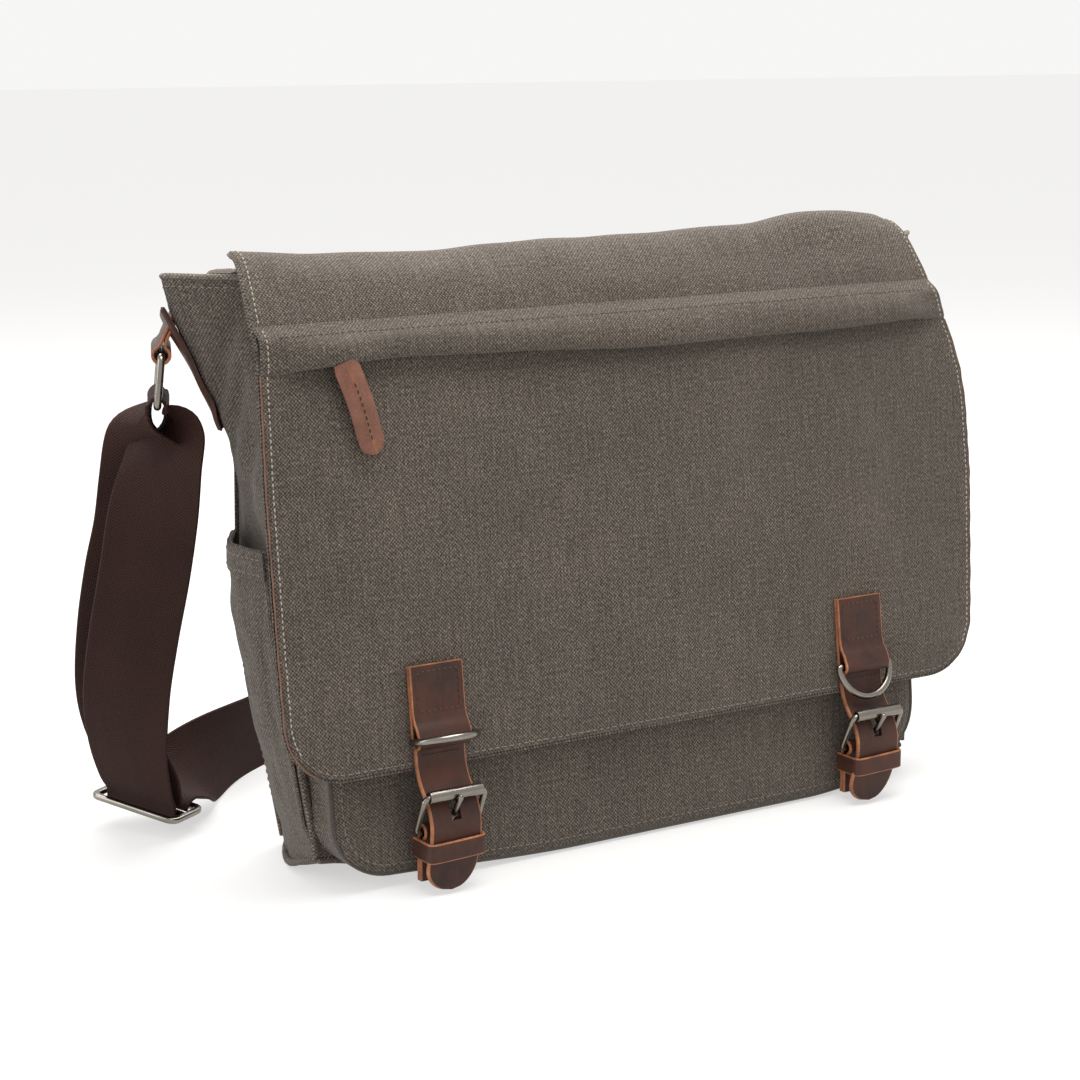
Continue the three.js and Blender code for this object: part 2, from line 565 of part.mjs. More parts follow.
// The webbing is one length: sewn round the adjuster, up through the left ring, back down
// through the adjuster, along the ground behind the bag, and up to the right ring.
function buildWebbing() {
  const route = [
    atAdjuster(0.4, 2.9),
    [-187.5, 59, 27, [0.52, -0.84, -0.12]],
    [-197, 56, 45, [0.66, -0.74, -0.1]],
    [-203, 47, 70, [0.78, -0.62, 0]],
    [-203.5, 40, 98, [0.84, -0.545, 0]],
    [-201, 36, 122, [0.84, -0.545, 0]],
    [-198, 32, 142, [0.8, -0.6, 0]],
    [-196.5, 28, 162, [0.62, -0.78, 0]],
    [-196, 24, 181, [0.3, -0.95, 0]],
    atRing(-1, 3.3, -5),
    atRing(-1, 3.2, 1),
    atRing(-1, 0, 3.9),
    atRing(-1, -3.2, 1),
    atRing(-1, -3.3, -5),
    [-190.5, 14.5, 184, [0, -1, 0]],
    [-197, 8.5, 170, [0.35, -0.93, 0]],
    [-201, 9, 150, [0.7, -0.71, 0]],
    [-202, 17, 125, [0.84, -0.54, 0]],
    [-203, 28, 97, [0.84, -0.545, 0]],
    [-203, 38, 70, [0.78, -0.62, 0]],
    [-199, 49, 44, [0.66, -0.74, -0.1]],
    [-193, 56, 24, [0.55, -0.82, -0.12]],
    atAdjuster(-5, 4),
    atAdjuster(-3.6, -1.6),
    atAdjuster(0, -3.4),
    atAdjuster(3.6, -1.6),
    atAdjuster(5.8, 2.4),
    atAdjuster(10.5, 4.2),
    [-169, 71, 15.5, [0.49, -0.82, -0.28]],
    [-150, 84, 18, [0.25, -0.42, -0.87]],
    [-117, 106, 19.6, [0, 0, -1]],
    [-60, 140, 19.6, [0, 0, -1]],
    [-5, 164, 19.2, [0.05, -0.2, -0.98]],
    [48, 177, 14, [0.1, -0.7, -0.71]],
    [98, 175, 5, [0, -0.98, -0.2]],
    [143, 158, 1.8, [-0.5, -0.86, 0]],
    [178, 130, 5, [-0.72, -0.69, 0]],
    [202, 100, 23, [-0.78, -0.62, 0]],
    [213, 75, 55, [-0.62, -0.78, 0]],
    [212, 55, 95, [-0.3, -0.95, 0]],
    [206, 40, 135, [0, -1, 0]],
    [200, 29, 170, [0.28, -0.96, 0]],
    atRing(1, 3.3, -6),
    atRing(1, 3.2, 1),
    atRing(1, 0, 3.9),
    atRing(1, -3.2, 1),
    atRing(1, -2.4, -6),
    [193.4, 24.2, 178, [0.34, -0.94, 0]],
    [197.6, 29.2, 160, [0.24, -0.97, 0]],
  ];
  place('strap_webbing', band(route, WEBBING_WIDTH, WEBBING_THICKNESS, 2), webbing());
}

buildShell();
buildInside();
buildFrontPocket();
for (const [label, side] of [['left', -1], ['right', 1]]) {
  buildSide(label, side);
  buildRing(label, side);
}
buildFlapTop();
buildFlapFront();
buildZip();
buildClosingStraps();
buildAdjuster();
buildWebbing();

export default bag;
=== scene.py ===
# Looks of a canvas messenger bag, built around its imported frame.
# Shapes are worked out in millimetres, in the frame's own axes, and become metres in make().
import math

import bpy
import numpy as np
from mathutils import Matrix, Vector


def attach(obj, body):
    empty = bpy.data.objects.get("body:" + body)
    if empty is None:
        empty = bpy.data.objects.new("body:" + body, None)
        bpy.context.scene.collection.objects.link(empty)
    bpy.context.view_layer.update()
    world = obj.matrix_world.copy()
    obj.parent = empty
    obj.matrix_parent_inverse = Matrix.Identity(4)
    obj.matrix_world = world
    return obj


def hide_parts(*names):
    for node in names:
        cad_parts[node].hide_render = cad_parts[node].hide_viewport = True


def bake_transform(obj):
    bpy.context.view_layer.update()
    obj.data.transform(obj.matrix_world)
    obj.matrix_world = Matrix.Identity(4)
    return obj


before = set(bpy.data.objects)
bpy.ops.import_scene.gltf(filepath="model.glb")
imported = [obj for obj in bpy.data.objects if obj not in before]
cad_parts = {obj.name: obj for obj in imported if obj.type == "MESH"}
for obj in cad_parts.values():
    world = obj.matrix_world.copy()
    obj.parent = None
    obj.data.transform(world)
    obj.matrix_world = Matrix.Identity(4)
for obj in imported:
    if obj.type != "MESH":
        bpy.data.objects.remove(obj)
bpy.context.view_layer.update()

MM = 0.001
TURN = math.tau
SIDES = (("left", -1), ("right", 1))

# ---------------------------------------------------------------- sizes shared with the frame
GAP = 0.3
CLOTH = 2.0
BASE_HALF_WIDTH = 158
TOP_HALF_WIDTH = 170
BASE_FRONT_Y, BASE_BACK_Y = -50, 8
RIM_FRONT_Y, RIM_BACK_Y = -28, 32
RIM_Z = 248

POCKET_HALF_WIDTH = 158
POCKET_FOOT, POCKET_TOP, POCKET_CORNER = 2.4, 195, 24
POCKET_FOOT_Y, POCKET_SLOPE = -70, 0.105

SIDE_POCKET_FOOT, SIDE_POCKET_TOP = 12, 140

FLAP_HALF_WIDTH = 180
FLAP_LEAN = math.atan(20 / 166)
FLAP_FOOT = np.array([0.0, -72.0, 51.0])
FLAP_CORNER = 25

SLIDER_X = -146
ZIP_TRAVEL = 290
PULL_TILT = math.radians(18)

STRAP_X = 112
STRAP_WIDTH = 25.4
BILLET_WIDTH = 24.0
LEATHER = 2.2
HEEL = np.array([-77.5, 25.0])
ROLLER = np.array([-85.5, 42.0])
D_BAR = np.array([-4.2, 11.5])
D_RADIUS, D_WIRE = 14.6, 1.6
RING_SWING = {"left": math.radians(105.5), "right": math.radians(20)}

WEBBING_WIDTH, WEBBING_THICKNESS = 38.0, 1.6
RING_BAR = np.array([-190.0, 20.0, 219.0])
RING_ALONG = np.array([0.4, 0.9165, 0.0])
RING_OUT = np.array([-0.9165, 0.4, 0.0])
RING_DROP = np.array([-2.4, 0.0, -21.0])
ADJUSTER = np.array([-185.0, 62.0, 11.5])
ADJUSTER_LONG = np.array([0.489, -0.861, -0.135]) / np.linalg.norm([0.489, -0.861, -0.135])
ADJUSTER_SHORT = np.array([0.8696, 0.4938, 0.0])

X_AXIS = np.array([1.0, 0.0, 0.0])
Y_AXIS = np.array([0.0, 1.0, 0.0])
Z_AXIS = np.array([0.0, 0.0, 1.0])


# ---------------------------------------------------------------- small maths
def smooth(low, high, x):
    t = np.clip((np.asarray(x, float) - low) / (high - low), 0, 1)
    return t * t * (3 - 2 * t)


def bell(x, centre, width):
    return np.exp(-(((np.asarray(x, float) - centre) / width) ** 2))


def unit(vectors):
    vectors = np.asarray(vectors, float)
    return vectors / np.maximum(np.linalg.norm(vectors, axis=-1, keepdims=True), 1e-12)


def stack(x, y, z):
    return np.stack(np.broadcast_arrays(x, y, z), axis=-1).astype(float)


def table(rows, x):
    rows = np.array(rows, float)
    return np.interp(x, rows[:, 0], rows[:, 1])


def waves(x, z, length, height, seed):
    """Soft unevenness of cloth: crossing waves of about this length and height."""
    rng = np.random.default_rng(seed)
    total = 0
    count = 7
    for _ in range(count):
        turn = rng.uniform(0, TURN)
        stretch = rng.uniform(0.6, 1.7)
        phase = rng.uniform(0, TURN)
        reach = x * math.cos(turn) + z * math.sin(turn)
        total = total + np.sin(TURN * reach * stretch / length + phase)
    return height * total / math.sqrt(count)


def crease(x, z, start, end, width, depth):
    """A soft valley between two points, deepest in its middle."""
    start, end = np.array(start, float), np.array(end, float)
    along = end - start
    length = np.linalg.norm(along)
    along = along / length
    reach = (x - start[0]) * along[0] + (z - start[1]) * along[1]
    off = (x - start[0]) * -along[1] + (z - start[1]) * along[0]
    fade = smooth(0, 0.3 * length, reach) * (1 - smooth(0.7 * length, length, reach))
    return -depth * fade * np.exp(-((off / width) ** 2))


def spline(points, steps):
    """Catmull-Rom curve through the points, with this many steps between two of them."""
    p = np.asarray(points, float)
    p = np.vstack([2 * p[0] - p[1], p, 2 * p[-1] - p[-2]])
    out = []
    for i in range(1, len(p) - 2):
        t = np.arange(steps)[:, None] / steps
        a, b, c, d = p[i - 1], p[i], p[i + 1], p[i + 2]
        out.append(0.5 * (2 * b + (c - a) * t + (2 * a - 5 * b + 4 * c - d) * t ** 2
                          + (3 * b - a - 3 * c + d) * t ** 3))
    return np.vstack([*out, p[-2]])


def lengths(path):
    return np.concatenate([[0], np.cumsum(np.linalg.norm(np.diff(path, axis=0), axis=1))])


def resample(path, *others, step):
    """Evenly spaced points on a path, with other per-point values carried along."""
    reach = lengths(path)
    count = max(2, int(round(reach[-1] / step)) + 1)
    even = np.linspace(0, reach[-1], count)
    results = []
    for values in (path, *others):
        values = np.asarray(values, float)
        results.append(np.stack([np.interp(even, reach, values[:, k]) for k in range(values.shape[1])],
                                axis=1))
    return results


def rotation(axis, angle):
    return np.array(Matrix.Rotation(angle, 3, Vector(axis)))


# ---------------------------------------------------------------- meshes
class Shape:
    """Vertices in millimetres, faces, a material index for each face and a UV in millimetres."""

    def __init__(self, vertices, faces, indices=None, uv=None):
        self.vertices = np.asarray(vertices, float).reshape(-1, 3)
        self.faces = [tuple(int(i) for i in face) for face in faces]
        self.indices = list(indices) if indices is not None else [0] * len(self.faces)
        self.uv = np.asarray(uv, float) if uv is not None else self.vertices[:, [0, 2]]

    def moved(self, matrix=None, offset=(0, 0, 0)):
        turn = np.eye(3) if matrix is None else np.asarray(matrix, float)
        return Shape(self.vertices @ turn.T + np.asarray(offset, float), self.faces, self.indices, self.uv)


def together(shapes):
    vertices, faces, indices, uvs, base = [], [], [], [], 0
    for shape in shapes:
        vertices.append(shape.vertices)
        faces += [tuple(i + base for i in face) for face in shape.faces]
        indices += shape.indices
        uvs.append(shape.uv)
        base += len(shape.vertices)
    return Shape(np.vstack(vertices), faces, indices, np.vstack(uvs))


def grid_lengths(points):
    """Distance across and along a grid of points, for its UV."""
    across = np.linalg.norm(np.diff(points, axis=0), axis=2)
    across = np.concatenate([np.zeros((1, points.shape[1])), np.cumsum(across, axis=0)])
    across = across - across[len(across) // 2]
    along = np.linalg.norm(np.diff(points, axis=1), axis=2)
    along = np.concatenate([np.zeros((points.shape[0], 1)), np.cumsum(along, axis=1)], axis=1)
    middle = along[len(along) // 2]
    return np.stack([across, np.broadcast_to(middle, across.shape)], axis=-1)


def slab(face, across, along, thickness, inner=0):
    """Closed sheet with a round rim. face(u, v) is its outer side, on this many points each way,
    and inner is the material index of its inner side."""
    u, v = np.meshgrid(np.linspace(0, 1, across), np.linspace(0, 1, along), indexing="ij")
    outer = face(u, v)
    normal = unit(np.cross(np.gradient(outer, axis=0), np.gradient(outer, axis=1)))
    inside = outer - normal * thickness
    rows, columns = outer.shape[:2]
    number = np.arange(rows * columns).reshape(rows, columns)
    flip = rows * columns
    faces, indices = [], []
    for i in range(rows - 1):
        for j in range(columns - 1):
            a, b, c, d = number[i, j], number[i + 1, j], number[i + 1, j + 1], number[i, j + 1]
            faces += [(a, b, c, d), (d + flip, c + flip, b + flip, a + flip)]
            indices += [0, inner]
    border = [(i, 0) for i in range(rows - 1)] + [(rows - 1, j) for j in range(columns - 1)]
    border += [(i, columns - 1) for i in range(rows - 1, 0, -1)] + [(0, j) for j in range(columns - 1, 0, -1)]
    middle = []
    for i, j in border:
        near = outer[min(max(i, 1), rows - 2), min(max(j, 1), columns - 2)]
        away = outer[i, j] - near
        away = unit(away - normal[i, j] * np.dot(away, normal[i, j]))
        middle.append((outer[i, j] + inside[i, j]) / 2 + away * thickness / 2)
    first = 2 * flip
    for k, (i, j) in enumerate(border):
        n = (k + 1) % len(border)
        i2, j2 = border[n]
        faces += [(number[i, j], first + k, first + n, number[i2, j2]),
                  (first + k, number[i, j] + flip, number[i2, j2] + flip, first + n)]
        indices += [0, 0]
    uv = grid_lengths(outer).reshape(-1, 2)
    outwards = [((i == rows - 1) - (i == 0), (j == columns - 1) - (j == 0)) for i, j in border]
    rim_uv = np.array([uv[number[i, j]] for i, j in border]) + np.array(outwards) * thickness / 2
    vertices = np.vstack([outer.reshape(-1, 3), inside.reshape(-1, 3), np.array(middle)])
    return Shape(vertices, faces, indices, np.vstack([uv, uv, rim_uv]))


def ring_faces(rings, sides, closed=False):
    """Quads between one ring of points and the next; closed also joins the last to the first."""
    faces = []
    for i in range(rings if closed else rings - 1):
        n = (i + 1) % rings
        for k in range(sides):
            m = (k + 1) % sides
            faces.append((i * sides + k, i * sides + m, n * sides + m, n * sides + k))
    return faces


def end_faces(rings, sides):
    return [tuple(range(sides - 1, -1, -1)), tuple((rings - 1) * sides + k for k in range(sides))]


def sweep(path, section, across, closed=False, widths=None, swell=None, edges=None):
    """A section of (across, through) offsets carried along a path. across is one direction or
    one for each point, swell scales the section at each point and widths only its width, and
    edges holds a material index for each side of the section."""
    path = np.asarray(path, float)
    section = np.asarray(section, float)
    count, sides = len(path), len(section)
    if closed:
        tangent = unit(np.roll(path, -1, axis=0) - np.roll(path, 1, axis=0))
    else:
        tangent = unit(np.gradient(path, axis=0))
    across = np.broadcast_to(np.asarray(across, float), path.shape)
    across = unit(across - tangent * np.sum(across * tangent, axis=1, keepdims=True))
    through = np.cross(tangent, across)
    swell = np.ones(count) if swell is None else np.asarray(swell, float)
    widths = swell if widths is None else np.asarray(widths, float)
    rings = (path[:, None, :]
             + across[:, None, :] * (section[None, :, 0, None] * widths[:, None, None])
             + through[:, None, :] * (section[None, :, 1, None] * swell[:, None, None]))
    edges = [0] * sides if edges is None else edges
    faces = ring_faces(count, sides, closed)
    indices = list(edges) * (count if closed else count - 1)
    if not closed:
        faces += end_faces(count, sides)
        indices += [max(edges), max(edges)]
    reach = lengths(path)[:, None]
    uv = np.stack([np.broadcast_to(section[None, :, 0], (count, sides)),
                   np.broadcast_to(reach, (count, sides))], axis=-1)
    return Shape(rings.reshape(-1, 3), faces, indices, uv.reshape(-1, 2))


def circle(radius, sides=12):
    turn = np.arange(sides) * TURN / sides
    return np.stack([radius * np.cos(turn), radius * np.sin(turn)], axis=1)


def strip_section(width, thickness):
    """Flat section with rounded edges, and the material index of each of its sides."""
    r = thickness * 0.42
    points, edges = [], []
    steps = 3
    for cx, cy, start in ((1, 1, 0), (-1, 1, 1), (-1, -1, 2), (1, -1, 3)):
        for k in range(steps + 1):
            turn = (start + k / steps) * TURN / 4
            points.append((cx * (width / 2 - r) + r * math.cos(turn),
                           cy * (thickness / 2 - r) + r * math.sin(turn)))
            side_left = cx < 0 and cy > 0 and k == steps
            side_right = cx > 0 and cy < 0 and k == steps
            rounded = k < steps
            edges.append(1 if rounded or side_left or side_right else 0)
    # the two long flats between the corners carry the grain side
    edges[steps] = 0
    edges[3 * steps + 2] = 0
    return np.array(points), edges


def bar(path, radius, across, closed=False, sides=12, flat=1.0):
    section = circle(radius, sides) * np.array([1.0, flat])
    return sweep(path, section, across, closed)


def rod(start, end, radius, sides=14):
    """A straight rod with a small chamfer at its ends."""
    start, end = np.asarray(start, float), np.asarray(end, float)
    along = unit(end - start)
    helper = Z_AXIS if abs(along[2]) < 0.9 else X_AXIS
    depth = min(radius, np.linalg.norm(end - start) / 2) * 0.25
    t = np.array([0, 0.12, 0.45, 1.0])
    swell = np.array([0.72, 0.9, 0.98, 1.0])
    head = [start + along * depth * k for k in t]
    tail = [end - along * depth * k for k in t[::-1]]
    return sweep(np.array(head + tail), circle(radius, sides), helper, swell=[*swell, *swell[::-1]])


def rounded_loop(half_width, low, high, corner, steps=6):
    """Rounded rectangle in a plane, as (across, up) points, anticlockwise."""
    points = []
    centres = ((half_width - corner, high - corner), (corner - half_width, high - corner),
               (corner - half_width, low + corner), (half_width - corner, low + corner))
    for start, (cx, cy) in enumerate(centres):
        for k in range(steps + 1):
            turn = (start + k / steps) * TURN / 4
            points.append((cx + corner * math.cos(turn), cy + corner * math.sin(turn)))
    return np.array(points)


def dense(loop, step):
    """More points along the straight stretches of a closed loop."""
    out = []
    for a, b in zip(loop, np.roll(loop, -1, axis=0)):
        count = max(1, int(np.linalg.norm(b - a) / step))
        out += [a + (b - a) * k / count for k in range(count)]
    return np.array(out)


def stitches(path, normals, pitch=3.5, length=2.5, radius=0.32, sink=0.16):
    """A row of sewn stitches lying on a surface: short threads whose ends dive into it."""
    path = np.asarray(path, float)
    points, normals = resample(path, np.broadcast_to(normals, path.shape), step=pitch)
    tangents = unit(np.gradient(points, axis=0))
    normals = unit(normals - tangents * np.sum(normals * tangents, axis=1, keepdims=True))
    sideways = np.cross(tangents, normals)
    along = np.array([-1.0, -0.72, -0.25, 0.25, 0.72, 1.0])
    girth = np.array([0.15, 0.8, 1.0, 1.0, 0.8, 0.15])
    round_steps = 6
    shapes = []
    for point, tangent, normal, side in zip(points[:-1] / 2 + points[1:] / 2, tangents, normals, sideways):
        vertices = []
        for t, g in zip(along, girth):
            for k in range(round_steps):
                turn = k * TURN / round_steps
                vertices.append(point + tangent * t * length / 2
                                + side * radius * g * math.cos(turn)
                                + normal * (radius * (g * math.sin(turn) + 0.35) - sink * 3 * t ** 4))
        faces = []
        for i in range(len(along) - 1):
            for k in range(round_steps):
                m = (k + 1) % round_steps
                faces.append((i * round_steps + m, i * round_steps + k,
                              (i + 1) * round_steps + k, (i + 1) * round_steps + m))
        last = (len(along) - 1) * round_steps
        faces += [tuple(range(round_steps)), tuple(last + k for k in range(round_steps - 1, -1, -1))]
        shapes.append(Shape(vertices, faces))
    return together(shapes)


def make(name, shape, materials, body, slot, *nodes, sharp=38):
    """Turns a shape into a Blender piece that rides on a body and stands for CAD nodes."""
    mesh = bpy.data.meshes.new(name)
    mesh.from_pydata([tuple(v) for v in shape.vertices * MM], [], shape.faces)
    for surface in materials:
        mesh.materials.append(surface)
    mesh.polygons.foreach_set("material_index", np.array(shape.indices, np.int32))
    layer = mesh.uv_layers.new(name="Thread")
    loops = np.empty(len(mesh.loops), np.int32)
    mesh.loops.foreach_get("vertex_index", loops)
    layer.data.foreach_set("uv", (shape.uv[loops]).astype(np.float32).ravel())
    mesh.validate()
    mesh.shade_smooth()
    mesh.set_sharp_from_angle(angle=math.radians(sharp))
    piece = bpy.data.objects.new(name, mesh)
    bpy.context.scene.collection.objects.link(piece)
    if body:
        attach(piece, body)
    if nodes:
        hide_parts(*nodes)
    return piece


def shell_canvas(name, shape, *nodes):
    return make(name, shape, [CANVAS], "root", "canvas", *nodes)


def shell_stitches(name, shape):
    return make(name, shape, [CANVAS_THREAD], "root", "canvas")


def carve(piece, shape):
    """Cuts a closed shape out of a piece."""
    mesh = bpy.data.meshes.new("cutter")
    mesh.from_pydata([tuple(v) for v in shape.vertices * MM], [], shape.faces)
    cutter = bpy.data.objects.new("cutter", mesh)
    bpy.context.scene.collection.objects.link(cutter)
    modifier = piece.modifiers.new("Cut", "BOOLEAN")
    modifier.object = cutter
    modifier.operation = "DIFFERENCE"
    modifier.solver = "EXACT"
    bpy.context.view_layer.update()
    graph = bpy.context.evaluated_depsgraph_get()
    result = bpy.data.meshes.new_from_object(piece.evaluated_get(graph))
    piece.modifiers.clear()
    piece.data = result
    bpy.data.objects.remove(cutter)
    return piece


# ---------------------------------------------------------------- materials
class Nodes:
    """Short way to add shader nodes to a material."""

    def __init__(self, name, **settings):
        self.material = bpy.data.materials.new(name)
        self.material.use_nodes = True
        self.tree = self.material.node_tree
        self.shader = self.tree.nodes["Principled BSDF"]
        for socket, value in settings.items():
            self.shader.inputs[socket.replace("_", " ")].default_value = value

    def add(self, kind, inputs=None, **settings):
        node = self.tree.nodes.new("ShaderNode" + kind)
        for key, value in settings.items():
            setattr(node, key, value)
        for socket, value in (inputs or {}).items():
            if isinstance(value, bpy.types.NodeSocket):
                self.tree.links.new(value, node.inputs[socket])
            else:
                node.inputs[socket].default_value = value
        return node

    def thread(self):
        """The piece's own UV, in millimetres."""
        return self.add("UVMap", uv_map="Thread").outputs["UV"]

    def place(self):
        return self.add("TexCoord").outputs["Object"]

    def scaled(self, vector, scale, turn=0.0):
        node = self.add("Mapping", {"Vector": vector, "Scale": scale, "Rotation": (0, 0, turn)})
        return node.outputs["Vector"]

    def noise(self, vector, scale, detail=2.0, roughness=0.5):
        node = self.add("TexNoise",
                        {"Vector": vector, "Scale": scale, "Detail": detail, "Roughness": roughness})
        return node.outputs["Fac"]

    def math(self, operation, a, b=0.0, clamp=False):
        return self.add("Math", {0: a, 1: b}, operation=operation, use_clamp=clamp).outputs[0]

    def ramp(self, value, *stops):
        node = self.add("ValToRGB", {"Fac": value})
        ramp = node.color_ramp
        while len(ramp.elements) < len(stops):
            ramp.elements.new(0.5)
        for element, (position, colour) in zip(ramp.elements, stops):
            element.position = position
            element.color = (*colour, 1)
        return node.outputs["Color"]

    def mix(self, factor, a, b, blend="MIX"):
        node = self.add("Mix", data_type="RGBA", blend_type=blend)
        for socket, value in (("Factor", factor), ("A", a), ("B", b)):
            target = next(s for s in node.inputs if s.name == socket and s.enabled)
            if isinstance(value, bpy.types.NodeSocket):
                self.tree.links.new(value, target)
            elif socket == "Factor":
                target.default_value = value
            else:
                target.default_value = (*value, 1)
        return next(s for s in node.outputs if s.enabled)

    def range(self, value, low, high, to_low, to_high):
        node = self.add("MapRange", {"Value": value, "From Min": low, "From Max": high,
                                     "To Min": to_low, "To Max": to_high})
        return node.outputs["Result"]

    def bump(self, height, distance, strength=1.0, after=None):
        inputs = {"Height": height, "Distance": distance, "Strength": strength}
        if after is not None:
            inputs["Normal"] = after
        return self.add("Bump", inputs).outputs["Normal"]

    def to(self, socket, value):
        self.tree.links.new(value, self.shader.inputs[socket])


def srgb(red, green, blue):
    """Linear colour from 0-255 display values."""
    return tuple((c / 255 / 12.92) if c / 255 <= 0.04045 else ((c / 255 + 0.055) / 1.055) ** 2.4
                 for c in (red, green, blue))


def woven(name, dark, light, pitch, cloud=0.16, depth=0.00022, streak=0.5):
    """Plain-weave cloth of a dark and a light yarn, with long slubs, flecks and faded clouds."""
    n = Nodes(name, Roughness=0.9, Sheen_Weight=0.1, Sheen_Roughness=0.6, Specular_IOR_Level=0.2)
    uv = n.thread()
    cell = n.add("SeparateXYZ", {"Vector": n.scaled(uv, (math.pi / pitch, math.pi / pitch, 1))})
    over = n.math("MULTIPLY", n.math("SINE", cell.outputs["X"]), n.math("SINE", cell.outputs["Y"]))
    yarn = n.range(over, -0.8, 0.8, 0, 1)
    warp = n.range(n.noise(n.scaled(uv, (0.85 / pitch, 0.035 / pitch, 1)), 1.0, 3, 0.6), 0.34, 0.66, 0, 1)
    weft = n.range(n.noise(n.scaled(uv, (0.05 / pitch, 0.8 / pitch, 1)), 1.0, 2, 0.6), 0.34, 0.66, 0, 1)
    fleck = n.range(n.noise(n.scaled(uv, (0.9 / pitch, 0.55 / pitch, 1)), 1.0, 2, 0.65), 0.36, 0.66, 0, 1)
    mixed = n.math("ADD", n.math("MULTIPLY", yarn, 0.36), n.math("MULTIPLY", fleck, 0.3))
    mixed = n.math("ADD", mixed, n.math("MULTIPLY", warp, 0.5 * streak))
    mixed = n.math("ADD", mixed, n.math("MULTIPLY", weft, 0.22 * streak))
    middle = tuple((a + b) / 2 * 0.55 for a, b in zip(dark, light))
    colour = n.ramp(mixed, (0.15, dark), (0.5, middle), (0.92, light))
    clouds = n.noise(n.place(), 15, 3, 0.5)
    colour = n.mix(cloud, colour, n.ramp(clouds, (0.3, (0.3, 0.3, 0.31)), (0.7, (0.95, 0.94, 0.92))),
                   "OVERLAY")
    n.to("Base Color", colour)
    height = n.math("ADD", n.math("POWER", n.math("ABSOLUTE", over), 0.5), n.math("MULTIPLY", fleck, 0.5))
    height = n.math("ADD", height, n.math("MULTIPLY", warp, 0.5))
    normal = n.bump(height, depth, 0.7)
    n.to("Normal", n.bump(clouds, 0.0012, 0.4, normal))
    return n.material


def leather(name, deep, warm, grain=1.0, rough=0.42, coat=0.12, wear=0.3):
    """Smooth leather: fine creased grain, pulled-up lighter patches, uneven polish."""
    n = Nodes(name, Roughness=rough, Coat_Weight=coat, Coat_Roughness=0.32, Specular_IOR_Level=0.32)
    place = n.place()
    patches = n.noise(place, 60, 5, 0.6)
    colour = n.ramp(patches, (0.3, deep), (0.72, warm))
    pores = n.add("TexVoronoi", {"Vector": place, "Scale": 1900 / grain, "Randomness": 1.0},
                  feature="DISTANCE_TO_EDGE").outputs["Distance"]
    fine = n.noise(place, 2600 / grain, 3, 0.6)
    scuff = n.noise(n.scaled(place, (1, 1, 0.25)), 420, 4, 0.7)
    colour = n.mix(n.range(scuff, 0.5, 0.85, 0, wear), colour, tuple(min(1, c * 1.9) for c in warm))
    colour = n.mix(n.range(pores, 0.0, 0.06, 0.35, 0.0), colour, tuple(c * 0.55 for c in deep))
    n.to("Base Color", colour)
    polish = n.math("ADD", n.range(patches, 0.3, 0.7, rough - 0.08, rough + 0.1),
                    n.range(scuff, 0.4, 0.8, 0, 0.12))
    n.to("Roughness", polish)
    wrinkle = n.math("ADD", n.range(pores, 0, 0.12, 0, 1), n.math("MULTIPLY", fine, 0.6))
    normal = n.bump(wrinkle, 0.00009, 0.55)
    n.to("Normal", n.bump(patches, 0.0008, 0.35, normal))
    return n.material


def cut_edge(name, deep, light):
    """Raw, burnished edge of leather: tan, fibrous along its length."""
    n = Nodes(name, Roughness=0.62)
    place = n.place()
    fibres = n.noise(place, 900, 4, 0.7)
    broad = n.noise(place, 120, 2, 0.5)
    value = n.math("ADD", n.math("MULTIPLY", fibres, 0.5), n.math("MULTIPLY", broad, 0.5))
    n.to("Base Color", n.ramp(value, (0.32, deep), (0.66, light)))
    n.to("Normal", n.bump(fibres, 0.0002, 0.6))
    return n.material


def nickel(name, colour, rough=0.2):
    """Plated, polished metal with faint hairlines and dulled patches."""
    n = Nodes(name, Metallic=1.0)
    place = n.place()
    dull = n.noise(place, 90, 4, 0.6)
    hair = n.noise(n.scaled(place, (1, 0.12, 1)), 2400, 2, 0.6)
    n.to("Roughness", n.math("ADD", n.range(dull, 0.35, 0.7, rough, rough + 0.14),
                             n.range(hair, 0.4, 0.8, 0, 0.06)))
    darker = tuple(c * 0.72 for c in colour)
    n.to("Base Color", n.ramp(dull, (0.3, colour), (0.75, darker)))
    n.to("Normal", n.bump(hair, 0.00003, 0.35))
    return n.material


def thread_material(name, colour):
    """Sewing thread: two plies twisted together."""
    n = Nodes(name, Roughness=0.75, Sheen_Weight=0.2)
    place = n.place()
    twist = n.noise(place, 3000, 2, 0.6)
    n.to("Base Color", n.ramp(twist, (0.3, tuple(c * 0.6 for c in colour)), (0.7, colour)))
    n.to("Normal", n.bump(twist, 0.0001, 0.5))
    return n.material


def webbing_material(name, deep, light):
    """Dense strap webbing: twill ribs that turn back at each stripe, and a ribbed edge."""
    n = Nodes(name, Roughness=0.78, Specular_IOR_Level=0.2)
    uv = n.thread()
    split = n.add("SeparateXYZ", {"Vector": uv})
    stripe = 4.75
    fold = n.math("PINGPONG", split.outputs["X"], stripe)
    ribs = n.math("SINE", n.math("MULTIPLY", n.math("ADD", split.outputs["Y"], fold), TURN / 1.5))
    picks = n.math("SINE", n.math("MULTIPLY", split.outputs["X"], TURN / 0.8))
    height = n.math("ADD", ribs, n.math("MULTIPLY", picks, 0.5))
    fuzz = n.noise(n.scaled(uv, (1, 1, 1)), 1.6, 3, 0.7)
    value = n.math("ADD", n.range(height, -1.5, 1.5, 0, 0.6), n.math("MULTIPLY", fuzz, 0.4))
    colour = n.ramp(value, (0.1, deep), (0.85, light))
    worn = n.noise(n.place(), 25, 3, 0.5)
    n.to("Base Color", n.mix(0.25, colour, n.ramp(worn, (0.3, (0.25, 0.25, 0.25)), (0.7, (0.9, 0.9, 0.9))),
                             "OVERLAY"))
    n.to("Normal", n.bump(height, 0.00016, 0.6))
    return n.material


